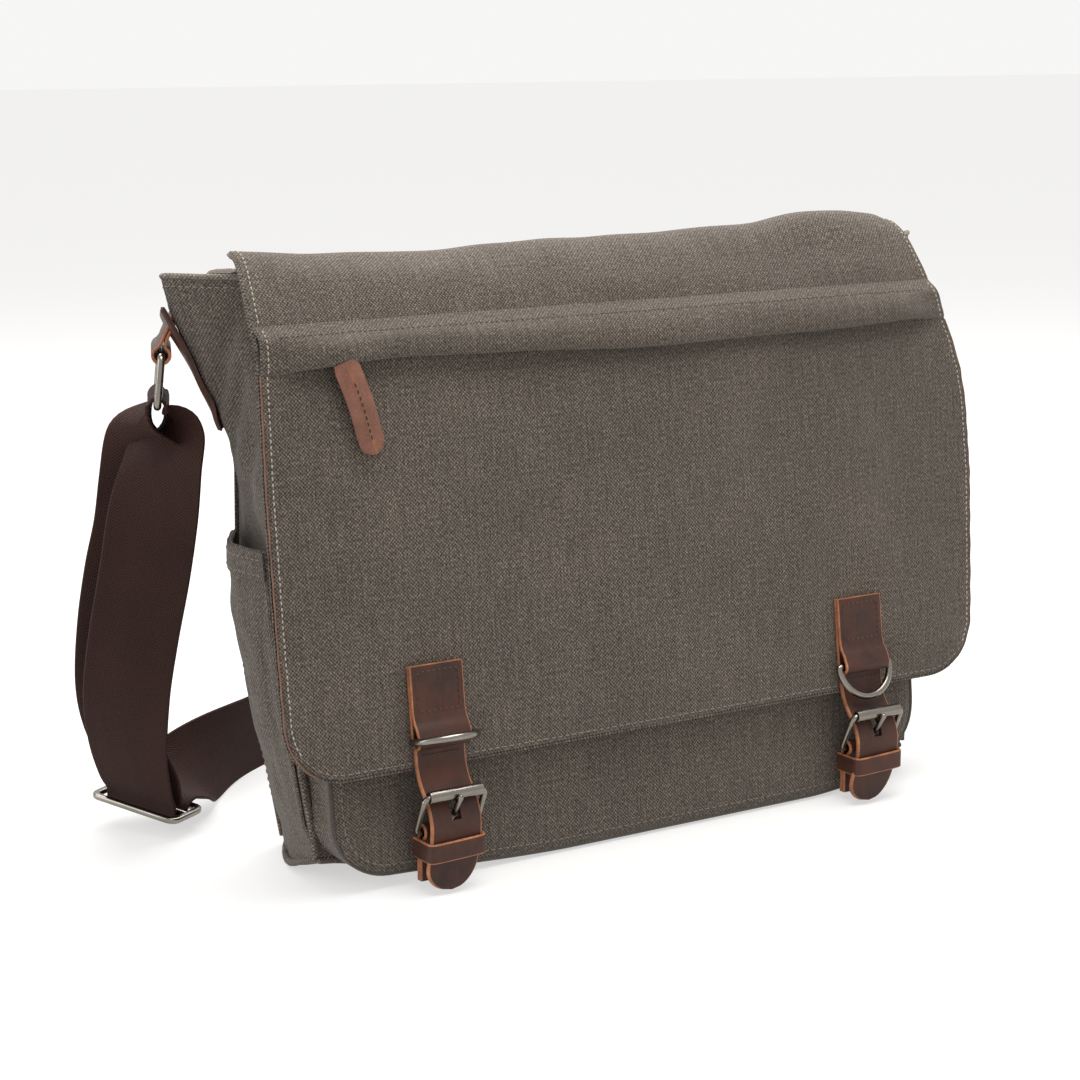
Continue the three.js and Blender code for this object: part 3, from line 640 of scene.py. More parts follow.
def tape_material(name, deep, light):
    """Narrow woven tape with a rib along its length."""
    n = Nodes(name, Roughness=0.8, Sheen_Weight=0.15)
    split = n.add("SeparateXYZ", {"Vector": n.thread()})
    ribs = n.math("SINE", n.math("MULTIPLY", split.outputs["Y"], TURN / 0.8))
    fuzz = n.noise(n.place(), 1500, 3, 0.6)
    value = n.math("ADD", n.range(ribs, -1, 1, 0, 0.5), n.math("MULTIPLY", fuzz, 0.5))
    n.to("Base Color", n.ramp(value, (0.2, deep), (0.8, light)))
    n.to("Normal", n.bump(ribs, 0.00012, 0.5))
    return n.material


def board_material(name):
    """Pressed fibre board, dark and slightly mottled."""
    n = Nodes(name, Roughness=0.85)
    fibres = n.noise(n.place(), 700, 4, 0.7)
    n.to("Base Color", n.ramp(fibres, (0.3, srgb(38, 34, 31)), (0.7, srgb(66, 60, 54))))
    n.to("Normal", n.bump(fibres, 0.0002, 0.5))
    return n.material


CANVAS = woven("canvas", srgb(32, 26, 22), srgb(152, 138, 124), 0.8, streak=0.24)
# a lighter copy of the canvas: painted highlight for the rim roll's top edge, where the light from above
# falls
CANVAS_TOP_LIT = woven("canvas_top_lit", srgb(66, 58, 52), srgb(186, 174, 160), 0.8, streak=0.24)
LINING = woven("lining", srgb(58, 52, 47), srgb(98, 90, 82), 0.4, cloud=0.1, depth=0.00008, streak=0.4)
EDGING = tape_material("edging", srgb(44, 39, 35), srgb(78, 70, 62))
ZIP_TAPE = tape_material("zip_tape", srgb(26, 24, 23), srgb(50, 46, 43))
STRAP_LEATHER = leather("strap_leather", srgb(38, 18, 11), srgb(78, 42, 27), 1.0, 0.46, 0.04)
PULL_LEATHER = leather("pull_leather", srgb(102, 63, 43), srgb(142, 95, 68), 1.2, 0.62, 0.0, 0.2)
TAN_EDGE = cut_edge("tan_edge", srgb(98, 54, 34), srgb(172, 110, 70))
FLAP_EDGE = cut_edge("flap_edge", srgb(66, 44, 34), srgb(118, 82, 60))
PULL_EDGE = cut_edge("pull_edge", srgb(84, 50, 38), srgb(126, 80, 60))
HARDWARE = nickel("hardware", srgb(138, 132, 124), 0.16)
ZIP_METAL = nickel("zip_metal", srgb(120, 114, 108), 0.3)
PALE_THREAD = thread_material("pale_thread", srgb(168, 160, 147))
CANVAS_THREAD = thread_material("canvas_thread", srgb(120, 113, 103))
BROWN_THREAD = thread_material("brown_thread", srgb(66, 34, 25))
DARK_THREAD = thread_material("dark_thread", srgb(84, 77, 70))
BLACK_THREAD = thread_material("black_thread", srgb(40, 24, 20))
WEBBING = webbing_material("webbing", srgb(18, 8, 6), srgb(56, 31, 24))
BOARD = board_material("board")


# ---------------------------------------------------------------- body of the bag
def front_y(z):
    return BASE_FRONT_Y + (RIM_FRONT_Y - BASE_FRONT_Y) * np.asarray(z, float) / RIM_Z


def back_y(z):
    return BASE_BACK_Y + (RIM_BACK_Y - BASE_BACK_Y) * np.asarray(z, float) / RIM_Z


def front_half(z):
    rise = np.sin(math.pi / 2 * np.clip(np.asarray(z, float) / 200, 0, 1))
    return BASE_HALF_WIDTH + (TOP_HALF_WIDTH - BASE_HALF_WIDTH) * rise


BACK_HALF_WIDTH = [(0, 145), (33, 149.5), (79, 156.5), (97, 158.6), (118, 158.8), (140, 157), (166, 155.4),
                   (182, 156.6), (195, 159.8), (207, 165), (219, 170.6), (234, 174.6), (248, 176)]
GUSSET_BOW = [(0, 3.5), (12, 2.5), (40, -1), (120, -2), (140, -1), (166, 6), (195, 10.5), (207, 13),
              (219, 16), (234, 22), (248, 24)]
SIDE_POCKET_BOW = [(12, 1.0), (33, 4.0), (79, 7.5), (110, 9.5), (140, 9)]
SIDE_DEPTH = 29  # half the width of a side panel
FRONT_FOOT_LIFT = 9  # the front bottom corners of the cloth are pulled up a little by their seams


def back_half(z):
    return table(BACK_HALF_WIDTH, z)


def half_at(z, share):
    """Half the bag's width, from the front panel at share 0 to the back panel at 1."""
    return front_half(z) + (back_half(z) - front_half(z)) * share


def rim_rise(s, z):
    """The rim stands a little high at its front corners and hangs low at its back ones."""
    return (5 - 14 * smooth(-0.1, 0.9, s)) * smooth(200, 246, z)


def side_point(side, s, z, bow, proud=0.0, seed=3):
    """A point of a side panel; s runs from -1 at the front seam to 1 at the back seam."""
    front = front_y(z) + CLOTH + GAP
    back = back_y(z) - CLOTH - GAP
    share = (s + 1) / 2
    tent = 1 - np.abs(s) ** (1.5 - 0.4 * smooth(165, 205, z))
    across = s * SIDE_DEPTH
    crumple = (waves(across, z, 52, 0.6, seed) + waves(across, z, 21, 0.28, seed + 1)) * (1 - s ** 4)
    lift = FRONT_FOOT_LIFT * smooth(0.1, 1.0, -s) * (1 - smooth(0, 60, z)) + rim_rise(s, z)
    return stack(side * (half_at(z, share) + bow * tent + proud + crumple), front + (back - front) * share,
                 z + lift)


def gusset_point(side, s, z, proud=0.0):
    across = s * SIDE_DEPTH
    pulls = (crease(across, z, (-27, 238), (4, 190), 3.6, 2.4)
             + crease(across, z, (-26, 222), (0, 172), 3.4, 2.0)
             + crease(across, z, (-28, 196), (-6, 150), 5, 2.0)
             + crease(across, z, (25, 232), (8, 176), 5, 1.8))
    return side_point(side, s, z, table(GUSSET_BOW, z), proud + pulls * smooth(142, 160, z), seed=20 + side)


def build_shell():
    foot, top = 2.7, RIM_Z - 2

    def panel(side_y, half, direction, seed, relief):
        def face(u, v):
            z = foot + v * (top - foot)
            s = 2 * u - 1
            roundness = 1.6 * smooth(0.985, 1.0, np.abs(s))
            belly = waves(s * 170, z, 130, 1.0, seed) * (1 - np.abs(s) ** 6) * relief
            y = side_y(z) + direction * (belly - roundness)
            corner_lift = FRONT_FOOT_LIFT * smooth(110, 160, np.abs(s) * half(z)) * (1 - smooth(0, 60, z))
            corner_rise = rim_rise(direction, z) * smooth(120, 172, np.abs(s) * half(z))
            return stack(-direction * s * (half(z) - 0.2), y,
                         z + corner_rise + (corner_lift if direction < 0 else 0))
        return face

    across, up = 70, 44
    back = panel(back_y, back_half, 1, 12, 0.9)
    front = panel(front_y, front_half, -1, 11, 0.25)
    shell_canvas("front_canvas", slab(front, across, up, CLOTH), "front_panel")
    shell_canvas("back_canvas", slab(back, across, up, CLOTH), "back_panel")
    run = np.linspace(0.04, 0.96, 130)
    hem_line = back(run, np.full(130, (226.0 - foot) / (top - foot))) + 0.1 * Y_AXIS
    shell_stitches("back_stitches", stitches(hem_line, Y_AXIS, 3.5, 2.5, 0.28))

    front_corner, back_corner = BASE_HALF_WIDTH - 3, float(back_half(0)) - 3

    def base(u, v):
        half = front_corner + (back_corner - front_corner) * v + 7 * np.sin(math.pi * v)
        x = (1 - 2 * u) * half
        y = BASE_FRONT_Y + v * (BASE_BACK_Y - BASE_FRONT_Y)
        near = np.minimum(half - np.abs(x), np.minimum(y - BASE_FRONT_Y, BASE_BACK_Y - y))
        corner_lift = FRONT_FOOT_LIFT * smooth(110, 160, np.abs(x)) * (1 - smooth(0, 0.55, v))
        return stack(x, y, 0.8 * (1 - smooth(0, 4, near)) + corner_lift)

    shell_canvas("base_canvas", slab(base, 60, 16, 1.5), "base_panel")
    share = np.linspace(0, 1, 12)
    side_x = front_corner + 1 + (back_corner - front_corner) * share + 7 * np.sin(math.pi * share)
    side_y = BASE_FRONT_Y + 0.6 + (BASE_BACK_Y - BASE_FRONT_Y - 1.2) * share
    right_side = np.stack([side_x, side_y], axis=1)
    lower = dense(np.vstack([right_side, right_side[::-1] * np.array([-1, 1])]), 6)
    near_front = 1 - smooth(0, 0.55, (lower[:, 1] - BASE_FRONT_Y) / (BASE_BACK_Y - BASE_FRONT_Y))
    path = stack(lower[:, 0], lower[:, 1],
                 2.0 + FRONT_FOOT_LIFT * smooth(110, 160, np.abs(lower[:, 0])) * near_front)
    shell_canvas("base_seam", bar(path, 1.5, Z_AXIS, closed=True, sides=10))

    seams = []
    z = np.linspace(4, top - 1, 80)
    for side_y, half, direction in ((front_y, front_half, -1), (back_y, back_half, 1)):
        for _, side in SIDES:
            corner_lift = rim_rise(direction, z) + (
                FRONT_FOOT_LIFT * (1 - smooth(0, 60, z)) if direction < 0 else 0)
            path = stack(side * (half(z) - 0.6), side_y(z) - direction * 0.3, z + corner_lift)
            seams.append(bar(path, 1.5, X_AXIS, sides=10))
    shell_canvas("corner_seams", together(seams))

    for label, side in SIDES:
        def gusset(u, v, side=side):
            return gusset_point(side, side * (2 * u - 1), foot + v * (top - foot))

        def hem(u, v, side=side):
            return gusset_point(side, side * 0.985 * (2 * u - 1), 237.5 + v * 9.4,
                                0.15 + 0.7 * smooth(0.0, 0.6, v))
        shell_canvas(f"{label}_gusset_canvas", slab(gusset, 61, 110, CLOTH), f"{label}_gusset")
        shell_canvas(f"{label}_rim_hem", slab(hem, 61, 7, 0.9))
        around_rim = np.linspace(-0.985, 0.985, 61)
        roll = gusset_point(side, around_rim, np.full(61, 247.0), 0.2)
        # the rim roll takes the lighter canvas: a painted highlight on its lit top edge
        make(f"{label}_rim_roll", bar(roll, 1.15, Z_AXIS, sides=10), [CANVAS_TOP_LIT], "root", "canvas")
        seam = gusset_point(side, np.linspace(-0.94, 0.94, 60), np.full(60, 242.8), 1.0)
        shell_stitches(f"{label}_rim_stitches", stitches(seam, side * X_AXIS, 3.2, 2.2, 0.28))


def build_inside():
    foot, top, cloth = 5.9, 232.0, 0.8

    def section(z, inset, count=120):
        """Rounded outline between the panels at a height, anticlockwise from the right."""
        front = front_y(z) + CLOTH + 0.6 + inset
        back = back_y(z) - CLOTH - 0.6 - inset
        turn = np.arange(count) * TURN / count
        power = 0.24
        cx, cy = np.cos(turn), np.sin(turn)
        share = (1 + np.sign(cy) * np.abs(cy) ** power) / 2
        half = half_at(z, share) - 12.5 - inset
        return stack(half * np.sign(cx) * np.abs(cx) ** power, front + (back - front) * share, z)

    heights = np.linspace(foot, top, 30)
    rings = [section(z, 0.0) for z in heights] + [section(z, cloth) for z in heights[::-1]]
    rings[-1][:, 2] = foot + cloth
    count = len(rings[0])
    vertices = np.vstack(rings)
    faces = ring_faces(len(rings), count) + end_faces(len(rings), count)
    reach = np.arange(count) * 6.0
    uv = np.vstack([np.stack([reach, ring[:, 2]], axis=1) for ring in rings])
    make("lining_bag", Shape(vertices, faces, uv=uv), [LINING], "root", "lining", "lining")

    outline = dense(np.array([(-116, -44), (116, -44), (141, -16), (138, 2.5), (-138, 2.5), (-141, -16)],
                             float), 8)
    rings = [stack(outline[:, 0], outline[:, 1], height) for height in (2.9, 5.3)]
    faces = ring_faces(2, len(outline)) + end_faces(2, len(outline))
    make("base_board_sheet", Shape(np.vstack(rings), faces), [BOARD], "root", "stiffener", "base_board")

    divider_half, quilt_rows = 133, 5

    def divider(u, v):
        z = 8 + v * 207
        x = (2 * u - 1) * divider_half
        front = back_y(z) - CLOTH - 1.3 - 13 - 5
        quilt = 0.7 * np.sin(math.pi * np.clip(u, 0, 1) * quilt_rows) ** 2 * np.sin(math.pi * v)
        return stack(x, front - 0.3 * np.sin(math.pi * v) + 0.5 - quilt, z)
    pad = make("sleeve_pad", slab(divider, 80, 30, 4.4), [LINING], "root",
               "lining", "sleeve_divider")
    run = np.linspace(-divider_half, divider_half, 60)
    crown = stack(run, back_y(215) - CLOTH - 1.3 - 13 - 2.6, 216.3)
    make("sleeve_binding", bar(crown, 2.4, Y_AXIS, sides=12, flat=0.8), [EDGING], "root", "edging")

    outline = np.array([(-167, -25.8), (167, -25.8), (189, 0), (172, 28.1), (-172, 28.1), (-189, 0)], float)
    loop = dense(outline, 7)
    away = unit(loop)
    band = []
    for z, inset in ((234.4, 0.2), (234.2, 0.7), (234.4, 1.2), (244.6, 1.2), (244.8, 0.7), (244.6, 0.2)):
        rise = rim_rise(loop[:, 1] / 27, z) * smooth(120, 165, np.abs(loop[:, 0]))
        band.append(np.column_stack([loop - away * inset * 1.1, z + rise]))
    faces = [face[::-1] for face in ring_faces(len(band), len(loop), closed=True)]
    reach = lengths(np.vstack([loop, loop[:1]]))[:-1]
    uv = np.vstack([np.stack([reach, ring[:, 2]], axis=1) for ring in band])
    make("rim_band", Shape(np.vstack(band), faces, uv=uv), [EDGING], "root", "lining", "rim_facing")


# ---------------------------------------------------------------- pouch-shaped panels
def pouch_rows(half, foot, top, corner, arc_rows=9, rows=60):
    """Rows and the half width of each, for a panel with round bottom corners."""
    turn = np.linspace(0, math.pi / 2, arc_rows)
    low = foot + corner - corner * np.cos(turn)
    low_half = half - corner + corner * np.sin(turn)
    high = np.linspace(foot + corner, top, rows + 1)[1:]
    heights = np.concatenate([low, high])
    halves = np.concatenate([low_half, np.full(len(high), half)])
    return heights, halves


def pouch_place(u, v, heights, halves):
    """The x and the height of a place on such a panel."""
    even = np.linspace(0, 1, len(heights))
    return (2 * u - 1) * np.interp(v, even, halves), np.interp(v, even, heights)


def pouch_outline(half, foot, top, corner, inset, step=3.0):
    """Open-topped outline, from the top left round to the top right, as (x, z)."""
    half, radius, low = half - inset, corner - inset, foot + inset
    turn = np.linspace(math.pi, 1.5 * math.pi, 14)
    arc = np.stack([-half + radius + radius * np.cos(turn), low + radius + radius * np.sin(turn)], axis=1)
    left = np.vstack([[-half, top], arc])
    outline = np.vstack([left, left[::-1] * np.array([-1, 1])])
    return resample(outline, step=step)[0]


def slack(x, y, z):
    """A point of the pocket: its right edge runs in a little, its bottom right corner is cut away
    more and its bottom left one is lifted."""
    inward = smooth(60, 158, x) * (8 + 13 * (1 - smooth(4, 46, z)) ** 2)
    lift = 5 * smooth(40, 158, -x) * (1 - smooth(0, 60, z)) + 3 * smooth(90, 158, x) * (1 - smooth(0, 40, z))
    return stack(x - inward, y, z + lift)


def pocket_y(z):
    return POCKET_FOOT_Y + POCKET_SLOPE * z


def build_front_pocket():
    half, foot, top, corner = POCKET_HALF_WIDTH, POCKET_FOOT, POCKET_TOP, POCKET_CORNER
    heights, halves = pouch_rows(half - 0.8, foot, top, corner)

    def surface_y(x, z):
        near_strap = bell(np.abs(x), STRAP_X, 22)
        edge = np.minimum(half - np.abs(x), z - foot)
        tuck = 1.5 * (1 - smooth(0, 6, edge))
        relief = waves(x, z, 95, 0.5, 31) * (1 - near_strap) * smooth(0, 12, edge)
        return pocket_y(z) + tuck + np.maximum(relief, -0.8)

    def face(u, v):
        x, z = pouch_place(u, v, heights, halves)
        return slack(x, surface_y(x, z), z)

    shell_canvas("front_pocket_canvas", slab(face, 90, len(heights), 1.7), "front_pocket_face")

    outline = pouch_outline(half, foot, top, corner, -0.3)
    path = slack(outline[:, 0], pocket_y(outline[:, 1]) + 2.2, outline[:, 1])
    make("pocket_piping", bar(path, 0.95, Y_AXIS, sides=10), [EDGING], "root", "edging",
         "front_pocket_piping")

    rim = pouch_outline(half, foot, top, corner, 0.2)
    count = len(rim)
    middle = unit(np.gradient(rim, axis=0))
    outward = np.stack([middle[:, 1], -middle[:, 0]], axis=1) * -1

    def gusset(u, v):
        # u runs along the outline, v from the front face back to the shell
        place = u * (count - 1)
        x, z, nx, nz = (np.interp(place, np.arange(count), values) for values in (*rim.T, *outward.T))
        near = pocket_y(z) + 2.6
        far = front_y(z) - 0.4
        puff = 2.6 * np.sin(math.pi * v) ** 0.8 * (1 - bell(z, foot, 14)) + 0.35 * waves(z, v * 20, 40, 1, 9)
        puff = np.where(z < foot + 6, 0.2 * puff, puff)
        return slack(x + nx * puff, near + v * (far - near), z + nz * puff)

    shell_canvas("pocket_gusset_canvas", slab(gusset, count, 9, 1.4), "front_pocket_gusset")
    seam = pouch_outline(half, foot, top, corner, 4.0)
    path = slack(seam[:, 0], surface_y(seam[:, 0], seam[:, 1]) - 0.1, seam[:, 1])
    shell_stitches("pocket_stitches", stitches(path, -Y_AXIS, 3.4, 2.4, 0.26))


def build_side_pocket(label, side):
    reach = 0.94

    def pocket(s, z, proud):
        bow = table(SIDE_POCKET_BOW, z)
        across = s * SIDE_DEPTH
        folds = (crease(across, z, (-22, 126), (-17, 44), 3.2, 1.5)
                 + crease(across, z, (24, 118), (2, 48), 4, 1.4)
                 + crease(across, z, (-24, 70), (22, 30), 4.5, 1.6)
                 + crease(across, z, (-10, 108), (14, 66), 5, 1.1))
        return side_point(side, s, z, bow, 1.9 + proud + folds, seed=41 + side)

    def face(u, v):
        z = SIDE_POCKET_FOOT + v * (SIDE_POCKET_TOP - SIDE_POCKET_FOOT)
        s = side * reach * (2 * u - 1)
        lift = 1.2 * smooth(0.0, 0.05, v) - 1.2
        return pocket(s, z, lift)

    shell_canvas(f"side_pocket_canvas_{label}", slab(face, 40, 56, 1.6), f"side_pocket_{label}")

    def hem(u, v):
        z = SIDE_POCKET_TOP - 11.5 + v * 11.4
        s = side * (reach - 0.005) * (2 * u - 1)
        return pocket(s, z, 1.0)

    shell_canvas(f"side_pocket_hem_band_{label}", slab(hem, 40, 6, 0.9), f"side_pocket_hem_{label}")
    rows = []
    for height in (SIDE_POCKET_TOP - 9.5, SIDE_POCKET_TOP - 3.0):
        s = np.linspace(-0.9, 0.9, 60)
        path = pocket(s, np.full(60, height), 1.15)
        rows.append(stitches(path, side * X_AXIS, 3.2, 2.2, 0.26))
    for s_seam in (-0.9, 0.9):
        z = np.linspace(SIDE_POCKET_FOOT + 4, SIDE_POCKET_TOP - 12, 60)
        path = pocket(np.full(60, s_seam), z, 0.1)
        rows.append(stitches(path, side * X_AXIS, 3.4, 2.4, 0.26))
    shell_stitches(f"side_pocket_stitches_{label}", together(rows))


# ---------------------------------------------------------------- flap
RIGHT_EDGE = [(0, 0), (50, 3.5), (93, 6.0), (127, 5.5), (142, 3.5), (156, -0.5), (166, -4.5), (180, -9.0),
              (200, -12.0), (218, -14.0)]
LEFT_EDGE = [(0, 0), (60, 0.6), (120, 0.4), (160, -0.8), (190, -1.0), (218, -4.0)]


def widen(x, height):
    """The flap isn't quite straight: its edges wander with height."""
    right = table(RIGHT_EDGE, height) * smooth(60, 180, x)
    left = table(LEFT_EDGE, height) * smooth(60, 180, -x)
    return x + right - left


def to_world(x, y, h):
    sin, cos = math.sin(FLAP_LEAN), math.cos(FLAP_LEAN)
    return stack(x, FLAP_FOOT[1] + y * cos + h * sin, FLAP_FOOT[2] - y * sin + h * cos)


def flap_relief(x, h):
    """How far the cloth stands out from the flap's plane, never inwards."""
    calm = 1 - bell(np.abs(x), STRAP_X, 24) * (1 - smooth(46, 75, h))
    under_zip = 1 - smooth(138, 158, h)
    edge = smooth(0, 16, np.minimum(FLAP_HALF_WIDTH - np.abs(x), h))
    relief = 1.1 + waves(x, h, 150, 0.8, 5) + waves(x, h, 60, 0.35, 6)
    relief = (relief + crease(x, h, (-176, 150), (-120, 118), 9, 1.6)
              + crease(x, h, (-178, 122), (-140, 96), 9, 1.2))
    relief = relief + crease(x, h, (178, 140), (120, 120), 10, 1.4)
    pucker = 0.18 * np.sin(TURN * h / 11.0 + 2 * np.sin(h / 17.0)) * smooth(150, 176, np.abs(x))
    return np.clip(relief, 0, 3.2) * calm * edge * (0.1 + 0.9 * under_zip) + pucker * calm * under_zip


def flap_surface(x, h, sunk=0.0):
    hollow = 1.5 * smooth(157, 165, h) * smooth(2, 24, FLAP_HALF_WIDTH - np.abs(x))
    return to_world(widen(x, h), sunk - flap_relief(x, h) + hollow, h)


FLAP_NORMAL = -np.array([0, math.cos(FLAP_LEAN), -math.sin(FLAP_LEAN)])


def build_flap_lower():
    def layer(inset, foot, top, corner, sunk, thickness, name, surface, slot, *nodes):
        heights, halves = pouch_rows(FLAP_HALF_WIDTH - inset, foot, top, corner, 12, 84)

        def face(u, v):
            return flap_surface(*pouch_place(u, v, heights, halves), sunk)
        make(name, slab(face, 110, len(heights), thickness), [surface], "flap_front", slot, *nodes)

    layer(0.4, 0.4, 169, FLAP_CORNER, 0.0, 1.6, "flap_lower_canvas", CANVAS, "canvas", "flap_lower_panel")
    layer(12, 22, 170, 20, 1.9, 0.8, "zip_pocket_cloth", LINING, "lining", "zip_pocket_bag")
    layer(1.0, 1.0, 176, FLAP_CORNER, 3.0, 0.8, "flap_backing_cloth", LINING, "lining", "flap_backing")

    # thin leather edging shows at the flap's sides and corners; along the bottom the cloth is only turned in
    edge = pouch_outline(FLAP_HALF_WIDTH, 0, 166, FLAP_CORNER, -0.3, step=2.0)
    wraps = np.nonzero(np.abs(edge[:, 0]) < FLAP_HALF_WIDTH - 14)[0]
    strips, turned = [], []
    for sunk in (0.7, 3.0):
        for part in (edge[:wraps[0]], edge[wraps[-1] + 1:]):
            kind = strips if sunk < 1 else turned
            kind.append(bar(flap_surface(part[:, 0], part[:, 1], sunk), 0.5, FLAP_NORMAL, sides=8, flat=0.8))
        part = edge[wraps[0] - 1:wraps[-1] + 2]
        turned.append(bar(flap_surface(part[:, 0], part[:, 1], sunk), 0.7, FLAP_NORMAL, sides=8, flat=0.8))
    make("flap_edge_strips", together(strips), [FLAP_EDGE], "flap_front", "strap_leather",
         "flap_edge_binding")
    make("flap_bottom_turning", together(turned), [CANVAS], "flap_front", "canvas")
    seam = pouch_outline(FLAP_HALF_WIDTH, 0, 166, FLAP_CORNER, 2.3, step=2.0)
    path = flap_surface(seam[:, 0], seam[:, 1], -0.05)
    low = seam[:, 1] < 12
    shapes = []
    first, last = np.argmax(low), len(low) - np.argmax(low[::-1])
    for start, end in ((0, first), (last, len(path))):
        shapes.append(stitches(path[start:end], FLAP_NORMAL, 2.5, 1.75, 0.34))
    make("flap_side_stitches", together(shapes), [PALE_THREAD], "flap_front", "canvas")
    make("flap_bottom_stitches", stitches(path[first:last], FLAP_NORMAL, 3.5, 2.5, 0.28),
         [CANVAS_THREAD], "flap_front", "canvas")


# The flap's upper part and top, as (y, z) stops from behind the welt, over the fold and the
# rim, to the seam on the back of the bag.
FLAP_OVER = [(-49.0, 225.8), (-47.0, 231), (-43.0, 239.5), (-37.5, 248.5), (-31.5, 257), (-25, 262.2),
             (-18.5, 263.4), (-12, 260.6), (-4, 256.0), (6, 253.4), (18, 252.4), (28, 251.2), (34, 248.6),
             (36.5, 243.5), (36.9, 238), (36.4, 232)]
OVER_CURVE = spline(FLAP_OVER, 8)
OVER_REACH = lengths(OVER_CURVE)
OVER_TOTAL = OVER_REACH[-1]
OVER_MIDDLE = float(np.interp(6.0, OVER_CURVE[:70, 0], OVER_REACH[:70]))


def over_at(reach):
    """The y and z of the flap's curve at a distance along it."""
    return np.array([np.interp(reach, OVER_REACH, OVER_CURVE[:, k]) for k in (0, 1)])


def over_point(s, reach, proud=0.0):
    """A point of the flap's upper cloth: s from -1 at its left edge to 1 at its right."""
    y, z = over_at(reach)
    step = 0.5
    ty, tz = over_at(reach + step) - over_at(reach - step)
    size = np.maximum(np.hypot(ty, tz), 1e-9)
    ny, nz = -tz / size, ty / size
    height = 176.3 + np.minimum(reach, 45)
    rear = smooth(45, OVER_TOTAL - 20, reach)
    tucked = smooth(50, 62, reach)
    left = FLAP_HALF_WIDTH + table(LEFT_EDGE, height) - 2 * rear - 12 * tucked
    right = FLAP_HALF_WIDTH + table(RIGHT_EDGE, height) + 4 * rear - 6 * tucked
    x = np.where(s < 0, s * left, s * right)
    on_top = smooth(18, 42, reach) * (1 - smooth(OVER_TOTAL - 34, OVER_TOTAL - 20, reach))
    ridge = smooth(24, 46, reach) * (1 - smooth(OVER_TOTAL - 52, OVER_TOTAL - 30, reach))
    sag = -2.6 * (1 - np.abs(s) ** 2) * on_top + 0.9 * smooth(0.3, 0.95, s) * on_top
    sag = sag + (3.6 * bell(s, 0.72, 0.2) - 3.0 * smooth(0.93, 1.0, s) - 4.6 * bell(s, -0.62, 0.28)) * ridge
    low_part = 1 - smooth(6, 20, reach)
    ripple = (waves(x, reach, 120, 0.8, 15) + waves(x, reach, 44, 0.28, 16)) * (1 - low_part)
    ripple = ripple * (1 - smooth(OVER_TOTAL - 30, OVER_TOTAL - 12, reach))
    off = ripple + proud
    return stack(x, y + ny * off, z + nz * off + sag)


def side_seams(start, end):
    """Stitches along both edges of the flap's upper cloth, between two distances along it."""
    rows = []
    for s_edge in (-0.987, 0.987):
        reach = np.linspace(start, end, 90)
        path = over_point(np.full(90, s_edge), reach, 0.12)
        ahead = over_point(np.full(90, s_edge), reach, 1.12)
        rows.append(stitches(path, ahead - path, 2.5, 1.75, 0.34))
    return rows


def blend_front(piece):
    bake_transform(piece)


def blend_rear(piece):
    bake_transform(piece)


def build_flap_upper():
    halves = (("flap_upper_canvas", 0.0, OVER_MIDDLE, "flap_upper_panel", 40),
              ("flap_top_canvas", OVER_MIDDLE, OVER_TOTAL, "flap_top_panel", 44))
    for name, start, end, node, rows in halves:
        def face(u, v, start=start, end=end):
            return over_point(2 * u - 1, start + v * (end - start))
        piece = make(name, slab(face, 110, rows, 3.1, inner=1), [CANVAS, LINING], None,
                     "canvas", node)
        (blend_front if node == "flap_upper_panel" else blend_rear)(piece)
    lines = []
    for s_edge in (-1.003, 1.003):
        reach = np.linspace(2, OVER_MIDDLE, 80)
        lines.append(bar(over_point(np.full(80, s_edge), reach, -1.6), 0.45, X_AXIS, sides=8))
    blend_front(make("flap_upper_edging", together(lines), [FLAP_EDGE], None, "strap_leather"))
    rows = side_seams(10, OVER_MIDDLE)
    blend_front(make("flap_upper_stitches", together(rows), [PALE_THREAD], None, "canvas"))
    rows = side_seams(OVER_MIDDLE, OVER_TOTAL - 8)
    for behind in (4.0, 9.0):
        s = np.linspace(-0.97, 0.97, 160)
        path = over_point(s, np.full(160, OVER_TOTAL - behind), 0.12)
        rows.append(stitches(path, Y_AXIS, 3.5, 2.5, 0.3))
    blend_rear(make("flap_top_stitches", together(rows), [PALE_THREAD], None, "canvas"))


WELT_OUTER = [(-3.4, 166.4), (-4.8, 167.4), (-5.5, 170.6), (-5.0, 174.6), (-3.1, 178.2), (-0.6, 181.0),
              (1.9, 183.2), (4.4, 185.4)]


